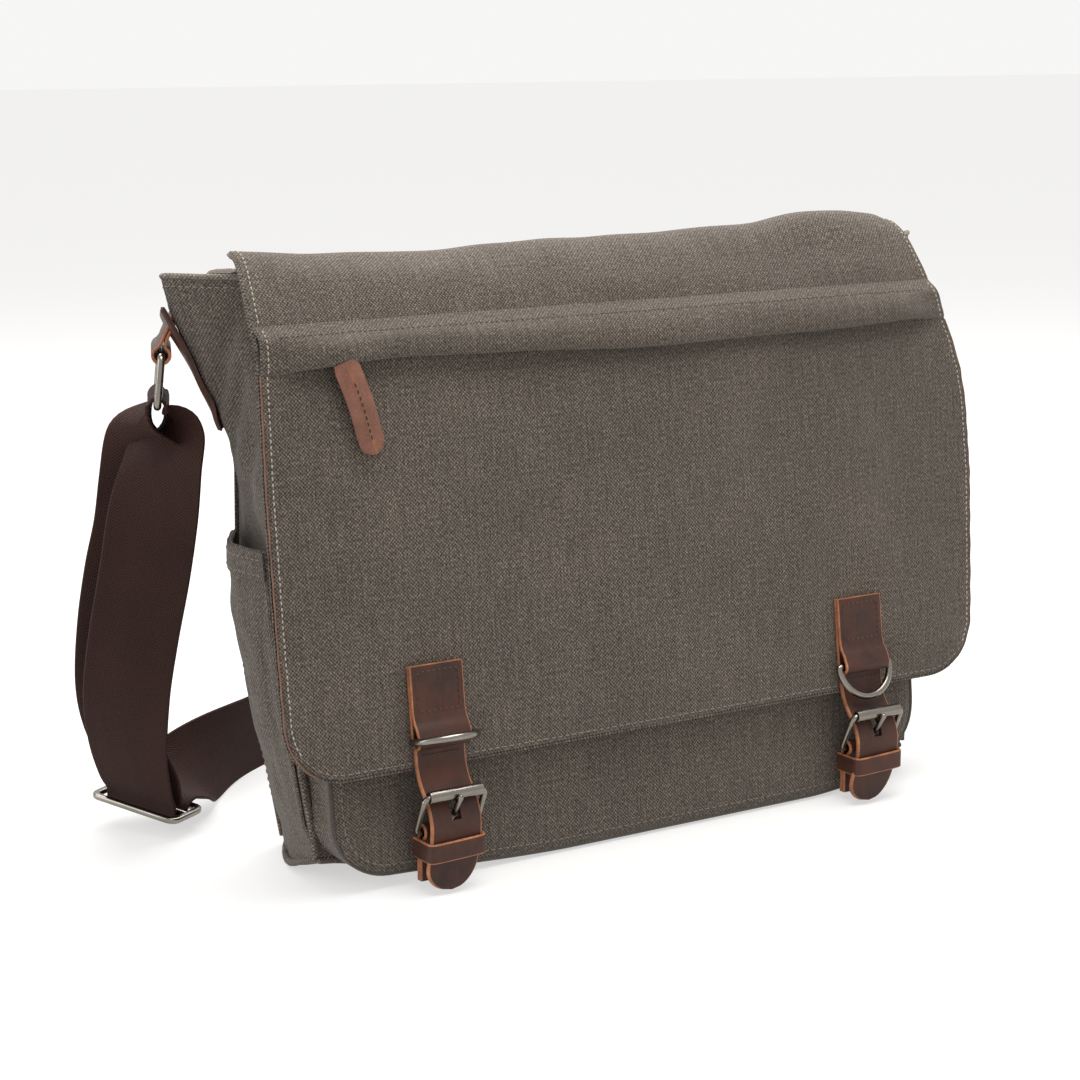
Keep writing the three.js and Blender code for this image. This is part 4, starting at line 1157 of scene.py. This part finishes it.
def build_welt():
    curve = spline(WELT_OUTER, 5)
    reach = lengths(curve)

    def face(u, v):
        x = (2 * u - 1) * (FLAP_HALF_WIDTH - 0.4)
        y = np.interp(v * reach[-1], reach, curve[:, 0])
        h = np.interp(v * reach[-1], reach, curve[:, 1])
        loose = 1 - smooth(0.25, 0.75, v)
        ends = smooth(0, 30, FLAP_HALF_WIDTH - np.abs(x))
        wander = (0.9 * np.sin(x / 47 + 0.6) + 0.5 * np.sin(x / 19 + 2)
                  + 0.8 * bell(x, 30, 45)) * loose * ends
        wander = wander - 2.2 * bell(x, -122, 30) * loose + 1.0 * bell(x, -176, 12) * loose
        lift = ((0.7 * np.sin(x / 33 + 1.7) + 0.5 * np.sin(x / 14)) * loose * ends
                - 0.9 * bell(x, 35, 40) * loose)
        flat = (1 - ends) * loose * 4.3
        pull_tug = 0.8 * bell(x, SLIDER_X, 14) * loose + 0.6 * bell(x, SLIDER_X + ZIP_TRAVEL, 16) * loose
        return to_world(widen(x, h), y - lift - pull_tug + flat, h - wander)

    make("welt_canvas", slab(face, 150, 22, 1.7), [CANVAS],
         "flap_front", "canvas", "welt")
    x = np.linspace(-172, 172, 200)
    path = face((x / (FLAP_HALF_WIDTH - 0.4) + 1) / 2, np.full(200, 0.7)) + FLAP_NORMAL * 0.1
    tilted = unit(FLAP_NORMAL + 0.5 * Z_AXIS)
    make("welt_stitches", stitches(path, tilted, 2.5, 1.75, 0.32), [DARK_THREAD], "flap_front", "canvas")
    columns = []
    for side in (-1, 1):
        v = np.linspace(0.06, 0.9, 24)
        at = side * 177.4
        path = face(np.full(24, (at / (FLAP_HALF_WIDTH - 0.4) + 1) / 2), v) + FLAP_NORMAL * 0.1
        columns.append(stitches(path, FLAP_NORMAL, 2.5, 1.75, 0.34))
    make("welt_end_stitches", together(columns), [PALE_THREAD], "flap_front", "canvas")


def build_zip():
    def tape(u, v):
        return to_world((2 * u - 1) * 170, np.full_like(u, 0.15), 169.3 + v * 8.4)
    make("zip_tape_cloth", slab(tape, 60, 6, 0.6), [ZIP_TAPE],
         "flap_front", "zip_tape", "zip_tape")
    pitch = 2.5
    tooth = rounded_loop(0.55, -0.5, 0.5, 0.22, 2)
    teeth = []
    for k in range(int(320 / pitch)):
        x = -160 + pitch * (k + 0.5)
        for row, shift in ((-1, 0.0), (1, pitch / 2)):
            h = 171.4 + row * 0.75
            path = to_world(x + shift, -0.7, h + np.array([-1.15, -0.95, 0.95, 1.15]) * 0.85)
            teeth.append(sweep(path, tooth, X_AXIS, swell=[0.8, 1, 1, 0.8]))
    make("zip_teeth_row", together(teeth), [ZIP_METAL], "flap_front", "zip_metal", "zip_teeth")
    for label, side in SIDES:
        path = to_world(side * 161.3, -0.85, np.linspace(169.4, 173.4, 6))
        clip = sweep(path, rounded_loop(1.0, -0.62, 0.62, 0.3, 3), X_AXIS, swell=[0.7, 1, 1, 1, 1, 0.7])
        make(f"zip_stop_clip_{label}", clip, [ZIP_METAL], "flap_front", "zip_metal", f"zip_stop_{label}")

    # slider: two cheeks round the teeth and an arched bridge that holds the pull
    parts = []
    for h, wide in ((174.6, 4.2), (169.2, 3.0)):
        path = to_world(np.linspace(-wide, wide, 7) + SLIDER_X, -1.7, h)
        parts.append(sweep(path, rounded_loop(1.5, -1.25, 1.25, 0.5, 3), -FLAP_NORMAL,
                           swell=[0.6, 0.9, 1, 1, 1, 0.9, 0.6]))
    body = to_world(SLIDER_X, -2.45, np.linspace(167.4, 175.6, 9))
    swell = np.array([0.55, 0.68, 0.74, 0.8, 0.88, 0.98, 1.0, 0.96, 0.8])
    parts.append(sweep(body, rounded_loop(5.0, -0.7, 0.7, 0.5, 3), X_AXIS, widths=swell))
    bridge = to_world(SLIDER_X, -2.6 - 1.9 * np.sin(np.linspace(0, math.pi, 11)) ** 0.7,
                      np.linspace(165.6, 168.6, 11))
    parts.append(sweep(bridge, rounded_loop(1.0, -0.5, 0.5, 0.3, 3), X_AXIS))
    make("zip_slider_body", together(parts), [ZIP_METAL], "zip_slider", "zip_metal", "zip_slider")

    turned = rotation((1, 0, 0), -FLAP_LEAN) @ rotation((0, 1, 0), -PULL_TILT)
    pivot = to_world(SLIDER_X + 1.4, -4.6, 168.4)
    loop = rounded_loop(2.6, -4.6, 0.4, 1.2, 5)
    bail = sweep(stack(loop[:, 0], 1.4 + 0 * loop[:, 0], loop[:, 1]), circle(0.62, 8), Y_AXIS, closed=True)
    make("pull_bail_wire", bail.moved(turned, pivot), [ZIP_METAL], "zip_pull", "zip_metal", "pull_bail")

    top, tip = 0.6, -39.4

    def half_width_at(z):
        end = np.sqrt(np.clip(1 - (np.clip(tip + 6 - z, 0, 6) / 6.0) ** 2, 0.0004, 1))
        shoulder = 0.86 + 0.14 * smooth(0, 3.5, top - z)
        return 5.9 * end * shoulder

    def bend_at(z):
        """The pull stands off at its top and settles towards the flap at its tip."""
        return -0.2 - 1.1 * np.sin(np.clip((top - z) / 30, 0, 1) * math.pi) + 2.0 * smooth(14, 43, top - z)

    straight = np.linspace(top, tip + 6, 22)
    z_rows = np.concatenate([straight, tip + 6 - 6 * np.sin(np.linspace(0.12, 1.56, 14))])
    section, edges = strip_section(2.0, 2.7)
    tongue = sweep(stack(0 * z_rows, bend_at(z_rows), z_rows), section, X_AXIS, widths=half_width_at(z_rows),
                   edges=edges)
    make("zip_pull_leather", tongue.moved(turned, pivot), [PULL_LEATHER, PULL_EDGE], "zip_pull",
         "pull_leather", "zip_pull")
    run = np.linspace(-8.0, -33.5, 24)
    front = stack(0 * run, bend_at(run) - 1.4, run)
    make("zip_pull_stitches", stitches(front, -Y_AXIS, 3.0, 2.1, 0.36, 0.1).moved(turned, pivot),
         [BLACK_THREAD], "zip_pull", "pull_leather")


# ---------------------------------------------------------------- closing straps
def folded_strip(route, x, width, thickness, in_flap, steps=4, tip=None):
    """A leather strip whose middle line is given in a plane across X."""
    curve = spline(route, steps)
    path = (to_world if in_flap else stack)(x, curve[:, 0], curve[:, 1])
    section, edges = strip_section(width, thickness)
    widths = None
    if tip:
        reach = lengths(path)
        left = np.clip((reach[-1] - reach) / tip, 0, 1)
        widths = np.maximum(np.sqrt(1 - (1 - left) ** 2), 0.03)
    return sweep(path, section, X_AXIS, widths=widths, edges=edges)


def around(centre, radius, start, end, count=9):
    """Points on a circle round a bar, angles in degrees from the front (-Y) towards up."""
    turn = np.radians(np.linspace(start, end, count))
    return [(centre[0] - radius * math.cos(t), centre[1] + radius * math.sin(t)) for t in turn]


def build_tab(label, x):
    layer = 1.6
    ring = around(D_BAR, 2.95, 165, 380, 11)
    route = [(-1.2, 42.4), (-1.2, 32), (-1.2, 22), (-1.25, 15.5), *ring[1:], (-5.6, 16.2), (-3.9, 19.0),
             (-2.95, 23), (-2.85, 28), (-2.85, 35), (-2.85, 42.4)]
    make(f"strap_tab_leather_{label}", folded_strip(route, x, STRAP_WIDTH, layer, True),
         [STRAP_LEATHER, TAN_EDGE], "flap_front", "strap_leather", f"strap_tab_{label}")
    box_path = dense(rounded_loop(STRAP_WIDTH / 2 - 2.6, 23.4, 40.0, 0.6, 2), 2)
    box_path = np.vstack([box_path, box_path[:1]])
    path = to_world(x + box_path[:, 0], -3.72, box_path[:, 1])
    make(f"strap_tab_stitches_{label}", stitches(path, FLAP_NORMAL, 2.7, 2.0, 0.28),
         [BROWN_THREAD], "flap_front", "strap_leather")


def build_d_ring(label, x):
    turn = np.linspace(0, math.pi, 33)
    arc = [(D_RADIUS * math.cos(t), -D_RADIUS * math.sin(t)) for t in turn]
    line = np.array([*arc[1:-1], (-D_RADIUS + 0.3, 0.0), (-D_RADIUS + 1.6, 0.35),
                     *[(k, 0.4) for k in range(-11, 12, 2)], (D_RADIUS - 1.6, 0.35),
                     (D_RADIUS - 0.3, 0.0)])
    shape = bar(stack(line[:, 0], 0 * line[:, 0], line[:, 1] - 0.4), D_WIRE, Y_AXIS, closed=True, sides=14)
    turned = rotation((1, 0, 0), -FLAP_LEAN) @ rotation((1, 0, 0), -(RING_SWING[label] - FLAP_LEAN))
    centre = to_world(x, *D_BAR)
    make(f"d_ring_wire_{label}", shape.moved(turned, centre), [HARDWARE], f"d_ring_{label}", "hardware",
         f"d_ring_{label}", sharp=60)


BILLET_ROUTE = [(-72.4, 59.0), (-72.6, 56.5), (-73.6, 51), (-76, 45.5), (-79.6, 40.8), (-83.6, 35.5),
                (-85.6, 29.5), (-85.4, 22), (-85.2, 12), (-85.8, 6), (-86.8, 1.8)]
TIP_DRIFT = {"left": -3.5, "right": -6.0}  # how far a strap's tip hangs to the left


def drifted(shape, label):
    """Lower end of a closing strap leaning to the left, as it hangs."""
    shape.vertices[:, 0] += TIP_DRIFT[label] * (1 - smooth(0, 24, shape.vertices[:, 2]))
    return shape


def build_billet(label, x):
    shape = folded_strip(BILLET_ROUTE, x, BILLET_WIDTH, LEATHER, False, 6, tip=11)
    shape = drifted(shape, label)
    piece = make(f"billet_leather_{label}", shape, [STRAP_LEATHER, TAN_EDGE], None, "strap_leather",
                 f"billet_{label}")
    slot = rounded_loop(2.2, -4.6, 4.6, 2.1, 5)
    path = stack(0, [-4.0, 4.0], 0)
    cutter = sweep(path, slot, X_AXIS).moved(rotation((1, 0, 0), math.radians(25)), (x, -83.7, 34.6))
    carve(piece, cutter)
    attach(piece, "flap_front")
    run = np.linspace(x - 9.6, x + 9.6, 12)
    row = stitches(stack(run, -73.9, 56.4), -Y_AXIS, 2.4, 1.8, 0.28)
    make(f"billet_stitches_{label}", row, [BROWN_THREAD], "flap_front", "strap_leather")


def build_chape(label, x):
    ring = around(HEEL, 2.85, 190, -60, 12)
    route = [(-74.15, 3.6), (-74.15, 9), (-74.2, 16), (-74.4, 21.5), *ring[1:], (-76.2, 19.4), (-76.05, 14),
             (-76.05, 3.6)]
    shape = folded_strip(route, x, BILLET_WIDTH - 0.4, 1.7, False, 4)
    piece = make(f"chape_leather_{label}", shape, [STRAP_LEATHER, TAN_EDGE], None, "strap_leather",
                 f"chape_{label}")
    slot = rounded_loop(2.7, -3.0, 6.5, 2.4, 4)
    carve(piece, sweep(stack(x, [-90.0, -72.8], HEEL[1]), slot, X_AXIS))
    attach(piece, "flap_front")


def build_keeper(label, x):
    half = BILLET_WIDTH / 2 + 1.0
    front, back, corner = -87.8, -73.7, 2.4
    arc = [(half - corner + corner * math.sin(t), front + corner - corner * math.cos(t))
           for t in np.linspace(0, math.pi / 2, 8)]
    right = ([(k, front - 0.25 * math.cos(k / 12)) for k in (0, 4, 8)] + arc
             + [(half, -80), (half, -77), (half, back)])
    line = np.array([(-a, b) for a, b in right[:0:-1]] + right)
    section, edges = strip_section(8.4, 1.4)
    path = stack(x + line[:, 0], line[:, 1], 18.6 + 0.03 * line[:, 0])
    make(f"keeper_leather_{label}", sweep(path, section, Z_AXIS, edges=edges), [STRAP_LEATHER, TAN_EDGE],
         "flap_front", "strap_leather", f"keeper_{label}")


def build_buckle(label, x):
    reach = float(np.hypot(*(HEEL - ROLLER)))
    tilt = math.atan2(HEEL[0] - ROLLER[0], ROLLER[1] - HEEL[1])
    stand = rotation((1, 0, 0), tilt)
    place = np.array([x, HEEL[0], HEEL[1]])
    line = dense(rounded_loop(14.4, 0.0, reach, 3.2, 7), 4)
    flat = rounded_loop(1.15, -1.25, 1.25, 0.8, 3)
    frame_bar = sweep(stack(line[:, 0], 0 * line[:, 0], line[:, 1]), flat, Y_AXIS, closed=True)
    make(f"buckle_wire_{label}", frame_bar.moved(stand, place), [HARDWARE], f"buckle_{label}", "hardware",
         f"buckle_frame_{label}", sharp=50)

    ends = np.array([-12.6, -12.4, -11.9, 11.9, 12.4, 12.6])
    outer = np.array([2.3, 2.52, 2.6, 2.6, 2.52, 2.3])
    sides = 28
    turn = np.arange(sides) * TURN / sides
    rings = [stack(e, r * np.cos(turn), r * np.sin(turn)) for e, r in zip(ends, outer)]
    rings += [stack(e, 1.8 * np.cos(turn), 1.8 * np.sin(turn)) for e in (12.5, -12.5)]
    faces = [face[::-1] for face in ring_faces(len(rings), sides, closed=True)]
    roller = Shape(np.vstack(rings), faces)
    make(f"roller_tube_{label}", roller.moved(None, (x, ROLLER[0], ROLLER[1])), [HARDWARE], f"roller_{label}",
         "hardware", f"roller_{label}")

    lift = math.asin(4.1 / reach)
    spine = np.array([(0, 0, 2.4), (0, 0, 3.4), (0, 0.05, 6), (0, -0.15, 10), (0, -0.2, 14),
                      (0, 0.1, 17.5), (0, 0.35, 20.4), (0, 0.4, 21.2), (0, 0.42, 21.55)])
    girth = np.array([1.0, 1.15, 1.15, 1.1, 1.05, 1.1, 1.1, 0.75, 0.25])
    shank = sweep(spline(spine, 3), circle(1.15, 12), X_AXIS, swell=spline(girth[:, None], 3)[:, 0])
    turn = np.linspace(0, TURN, 24, endpoint=False)
    eye = sweep(stack(0 * turn, 2.35 * np.cos(turn), 2.35 * np.sin(turn)),
                rounded_loop(1.9, -0.5, 0.5, 0.35, 3), X_AXIS, closed=True)
    prong = together([shank, eye]).moved(stand @ rotation((1, 0, 0), lift), place)
    make(f"prong_pin_{label}", prong, [HARDWARE], f"prong_{label}", "hardware", f"prong_{label}", sharp=50)


def build_snaps(label, x):
    height, sides = 12, 36
    turn = np.arange(sides) * TURN / sides
    for name, y, radius, body in (("snap_stud", -72.25, 6.0, "flap_front"),
                                  ("snap_socket", -70.45, 6.5, "root")):
        rings = []
        for dy, r in ((-0.72, radius * 0.35), (-0.72, radius * 0.9), (-0.55, radius), (0.55, radius),
                      (0.72, radius * 0.9), (0.72, radius * 0.35)):
            rings.append(stack(x + r * np.cos(turn), y + dy, height + r * np.sin(turn)))
        faces = ring_faces(len(rings), sides) + end_faces(len(rings), sides)
        make(f"{name}_disc_{label}", Shape(np.vstack(rings), faces), [HARDWARE], body, "hardware",
             f"{name}_{label}")


# ---------------------------------------------------------------- shoulder strap
def mirrored(vector, side):
    return np.array(vector, float) * np.array([1 if side < 0 else -1, 1, 1])


def ring_basis(side):
    along = mirrored(RING_ALONG, side) * (-1 if side < 0 else 1)
    up = unit(-mirrored(RING_DROP, side))
    through = unit(np.cross(up, along))
    square_up = np.cross(along, through)
    return np.column_stack([along, through, square_up]), mirrored(RING_BAR, side)


def build_ring(label, side):
    basis, centre = ring_basis(side)
    drop = float(np.linalg.norm(RING_DROP))
    half = WEBBING_WIDTH / 2 + 2.6
    loop = dense(rounded_loop(half, -drop, 0.0, 3.4, 7), 5)
    wire = bar(stack(loop[:, 0], 0 * loop[:, 0], loop[:, 1]), 1.6, Y_AXIS, closed=True, sides=14)
    make(f"strap_ring_wire_{label}", wire.moved(basis, centre), [HARDWARE], "shoulder_strap", "hardware",
         f"strap_ring_{label}", sharp=60)
    arc = [(3.45 * math.sin(t), -3.45 * math.cos(t)) for t in np.radians(np.linspace(-150, 150, 15))]
    lean = 0.28 * np.array([15.5, 11.0, 7.0]) * np.array([1.0, 0.8, 0.5])
    route = [(lean[0] - 0.85, 15.5), (lean[1] - 0.85, 11.0), (lean[2] - 0.85, 7.0), (-0.6, 4.6), *arc,
             (1.4, 4.6), (lean[2] + 0.85, 7.0), (lean[1] + 0.85, 11.0), (lean[0] + 0.85, 15.5)]
    curve = spline(route, 4)
    section, edges = strip_section(WEBBING_WIDTH - 3, 1.4)
    leather_loop = sweep(stack(0 * curve[:, 0], curve[:, 0], curve[:, 1]), section, X_AXIS, edges=edges)
    piece = make(f"ring_loop_leather_{label}", leather_loop.moved(basis, centre), [STRAP_LEATHER, TAN_EDGE],
                 None, "strap_leather", f"ring_loop_{label}")
    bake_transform(piece)


def build_side_tab(label, side):
    """Leather strip sewn behind the side's ridge, lifting off towards the ring at its top."""
    foot, top = 187.5, 234.0

    def surface(s, z, proud):
        lift = 2.0 * smooth(212, 234, z) * smooth(-0.2, 0.35, s)
        return gusset_point(side, s, z, LEATHER + 0.9 + proud + lift)

    def face(u, v):
        z = foot + v * (top - foot)
        return surface(0.37 + side * 0.4 * (2 * u - 1), z, 0.0)
    make(f"side_tab_leather_{label}", slab(face, 24, 34, LEATHER),
         [STRAP_LEATHER], "root", "strap_leather", f"side_tab_{label}")
    rows = []
    z = np.linspace(foot + 2.5, 214, 30)
    rows.append(surface(np.full(30, 0.69), z, 0.05))
    s = np.linspace(0.12, 0.69, 20)
    rows.append(surface(s, np.full(20, foot + 2.5), 0.05))
    seams = [stitches(row, side * X_AXIS, 2.7, 2.0, 0.28) for row in rows]
    make(f"side_tab_stitches_{label}", together(seams), [BROWN_THREAD], "root", "strap_leather")


def at_adjuster(short, up):
    above = np.cross(ADJUSTER_LONG, ADJUSTER_SHORT)
    return [*(ADJUSTER + ADJUSTER_SHORT * short + above * up), ADJUSTER_LONG]


def at_ring(side, out, up):
    point = mirrored(RING_BAR, side) + mirrored(RING_DROP, side) + mirrored(RING_OUT, side) * out
    point[2] += up
    return [*point, -mirrored(RING_ALONG, side)]


# The webbing's stops, each x, y, z and the direction of its width.
STRAP_ROUTE = [
    at_adjuster(0.4, 2.9),
    [-187.5, 59, 27, (0.52, -0.84, -0.12)],
    [-197, 56, 45, (0.66, -0.74, -0.1)],
    [-203, 47, 70, (0.78, -0.62, 0)],
    [-203.5, 40, 98, (0.84, -0.545, 0)],
    [-201, 36, 122, (0.84, -0.545, 0)],
    [-198, 32, 142, (0.8, -0.6, 0)],
    [-196.5, 28, 162, (0.8, -0.6, 0)],
    [-196, 24, 181, (0.62, -0.78, 0)], at_ring(-1, 3.3, -5), at_ring(-1, 3.2, 1), at_ring(-1, 0, 3.9),
    at_ring(-1, -3.2, 1), at_ring(-1, -3.3, -5),
    [-191, 14.5, 184, (0.4, -0.92, 0)],
    [-197, 8.5, 170, (0.62, -0.78, 0)],
    [-201, 9, 150, (0.8, -0.6, 0)],
    [-202, 17, 125, (0.84, -0.54, 0)],
    [-203, 28, 97, (0.84, -0.545, 0)],
    [-203, 38, 70, (0.78, -0.62, 0)],
    [-199, 49, 44, (0.66, -0.74, -0.1)],
    [-193, 56, 24, (0.55, -0.82, -0.12)], at_adjuster(-5, 4),
    at_adjuster(-3.6, -1.6), at_adjuster(0, -3.4), at_adjuster(3.6, -1.6), at_adjuster(5.8, 2.4),
    at_adjuster(10.5, 4.2),
    [-169, 71, 15.5, (0.49, -0.82, -0.28)],
    [-150, 84, 18, (0.25, -0.42, -0.87)],
    [-117, 106, 19.6, (0, 0, -1)],
    [-60, 140, 19.6, (0, 0, -1)],
    [-5, 164, 19.2, (0.05, -0.2, -0.98)],
    [48, 177, 14, (0.1, -0.7, -0.71)],
    [98, 175, 5, (0, -0.98, -0.2)],
    [143, 158, 1.8, (-0.5, -0.86, 0)],
    [178, 130, 5, (-0.72, -0.69, 0)],
    [202, 100, 23, (-0.78, -0.62, 0)],
    [213, 75, 55, (-0.62, -0.78, 0)],
    [212, 55, 95, (-0.3, -0.95, 0)],
    [206, 40, 135, (0, -1, 0)],
    [200, 29, 170, (0.28, -0.96, 0)], at_ring(1, 3.3, -6), at_ring(1, 3.2, 1), at_ring(1, 0, 3.9),
    at_ring(1, -3.2, 1), at_ring(1, -2.4, -6),
    [193.4, 24.2, 178, (0.34, -0.94, 0)],
    [197.6, 29.2, 160, (0.24, -0.97, 0)],
]


def build_webbing():
    centres = spline([stop[:3] for stop in STRAP_ROUTE], 8)
    widths = spline([stop[3] for stop in STRAP_ROUTE], 8)
    half, thin = WEBBING_WIDTH / 2, WEBBING_THICKNESS / 2
    upper = [(-half + 0.5, thin * 0.95), (-half + 2.0, thin), (-half + 2.6, thin * 0.86),
             (-6, thin * 0.9), (6, thin * 0.9), (half - 2.6, thin * 0.86), (half - 2.0, thin),
             (half - 0.5, thin * 0.95)]
    section = np.array([*upper[::-1], (-half, 0.0), *[(a, -b) for a, b in upper], (half, 0.0)])
    make("strap_webbing_cloth", sweep(centres, section, widths), [WEBBING], "shoulder_strap", "webbing",
         "strap_webbing", sharp=45)


def build_adjuster():
    above = np.cross(ADJUSTER_LONG, ADJUSTER_SHORT)
    basis = np.column_stack([ADJUSTER_LONG, ADJUSTER_SHORT, above])
    loop = dense(rounded_loop(21.9, -10.3, 10.3, 3.4, 7), 5)
    wire = sweep(stack(loop[:, 0], loop[:, 1], 0 * loop[:, 0]), rounded_loop(1.35, -1.6, 1.6, 0.9, 3),
                 Z_AXIS, closed=True)
    centre_bar = rod((-21.4, 0, 0), (21.4, 0, 0), 1.5)
    make("strap_adjuster_wire", together([wire, centre_bar]).moved(basis, ADJUSTER), [HARDWARE],
         "shoulder_strap", "hardware", "strap_adjuster", sharp=50)


# ---------------------------------------------------------------- stage, lights and camera
def studio():
    scene = bpy.context.scene
    scene.view_settings.view_transform = "Standard"
    world = bpy.data.worlds.new("studio")
    scene.world = world
    world.use_nodes = True
    background = world.node_tree.nodes["Background"]
    background.inputs["Color"].default_value = (0.93, 0.925, 0.915, 1)
    background.inputs["Strength"].default_value = 1.0

    mesh = bpy.data.meshes.new("floor")
    size = 12.0
    mesh.from_pydata([(-size, -size, 0), (size, -size, 0), (size, size, 0), (-size, size, 0)], [],
                     [(0, 1, 2, 3)])
    floor = bpy.data.objects.new("floor", mesh)
    scene.collection.objects.link(floor)
    n = Nodes("floor_paper", Roughness=0.95, Base_Color=(0.35, 0.348, 0.344, 1), Specular_IOR_Level=0.0,
              Emission_Color=(1, 0.995, 0.985, 1), Emission_Strength=0.56)
    mesh.materials.append(n.material)

    def softbox(name, place, target, width, height, power, colour):
        light = bpy.data.lights.new(name, "AREA")
        light.shape = "RECTANGLE"
        light.size, light.size_y = width, height
        light.energy = power
        light.color = colour
        lamp = bpy.data.objects.new(name, light)
        lamp.location = place
        lamp.rotation_euler = (Vector(target) - Vector(place)).to_track_quat("-Z", "Y").to_euler()
        scene.collection.objects.link(lamp)

    softbox("top_back", (0.25, 0.7, 1.3), (0.05, 0, 0.2), 1.4, 0.8, 22, (1, 0.98, 0.95))
    softbox("overhead", (0.1, -0.22, 1.3), (0, -0.03, 0.15), 1.1, 0.6, 16, (1, 0.98, 0.95))
    softbox("left_side", (-1.45, 0.35, 0.6), (-0.15, 0, 0.15), 0.8, 1.1, 8, (0.92, 0.96, 1))


def camera():
    azimuth, pitch, distance = math.radians(33), math.radians(10.77), 1.13794
    target = Vector((0, 0, 0.140))
    away = Vector((-math.sin(azimuth) * math.cos(pitch), -math.cos(azimuth) * math.cos(pitch),
                   math.sin(pitch)))
    data = bpy.data.cameras.new("camera")
    focal_px, image_px = 2500, 1080
    data.sensor_width = 36
    data.lens = focal_px / image_px * data.sensor_width
    data.shift_x = -0.02875
    data.shift_y = -0.03878
    data.clip_start = 0.05
    data.clip_end = 30
    eye = bpy.data.objects.new("camera", data)
    eye.location = target + away * distance
    eye.rotation_euler = (-away).to_track_quat("-Z", "Y").to_euler()
    bpy.context.scene.collection.objects.link(eye)
    bpy.context.scene.camera = eye


camera()
studio()
build_shell()
build_inside()
build_front_pocket()
build_flap_lower()
build_flap_upper()
build_welt()
build_zip()
for side_label, side_sign in SIDES:
    build_side_pocket(side_label, side_sign)
    build_side_tab(side_label, side_sign)
    build_ring(side_label, side_sign)
    strap_x = side_sign * STRAP_X
    build_tab(side_label, strap_x)
    build_d_ring(side_label, strap_x)
    build_billet(side_label, strap_x)
    build_chape(side_label, strap_x)
    build_keeper(side_label, strap_x)
    build_buckle(side_label, strap_x)
    build_snaps(side_label, strap_x)
build_webbing()
build_adjuster()
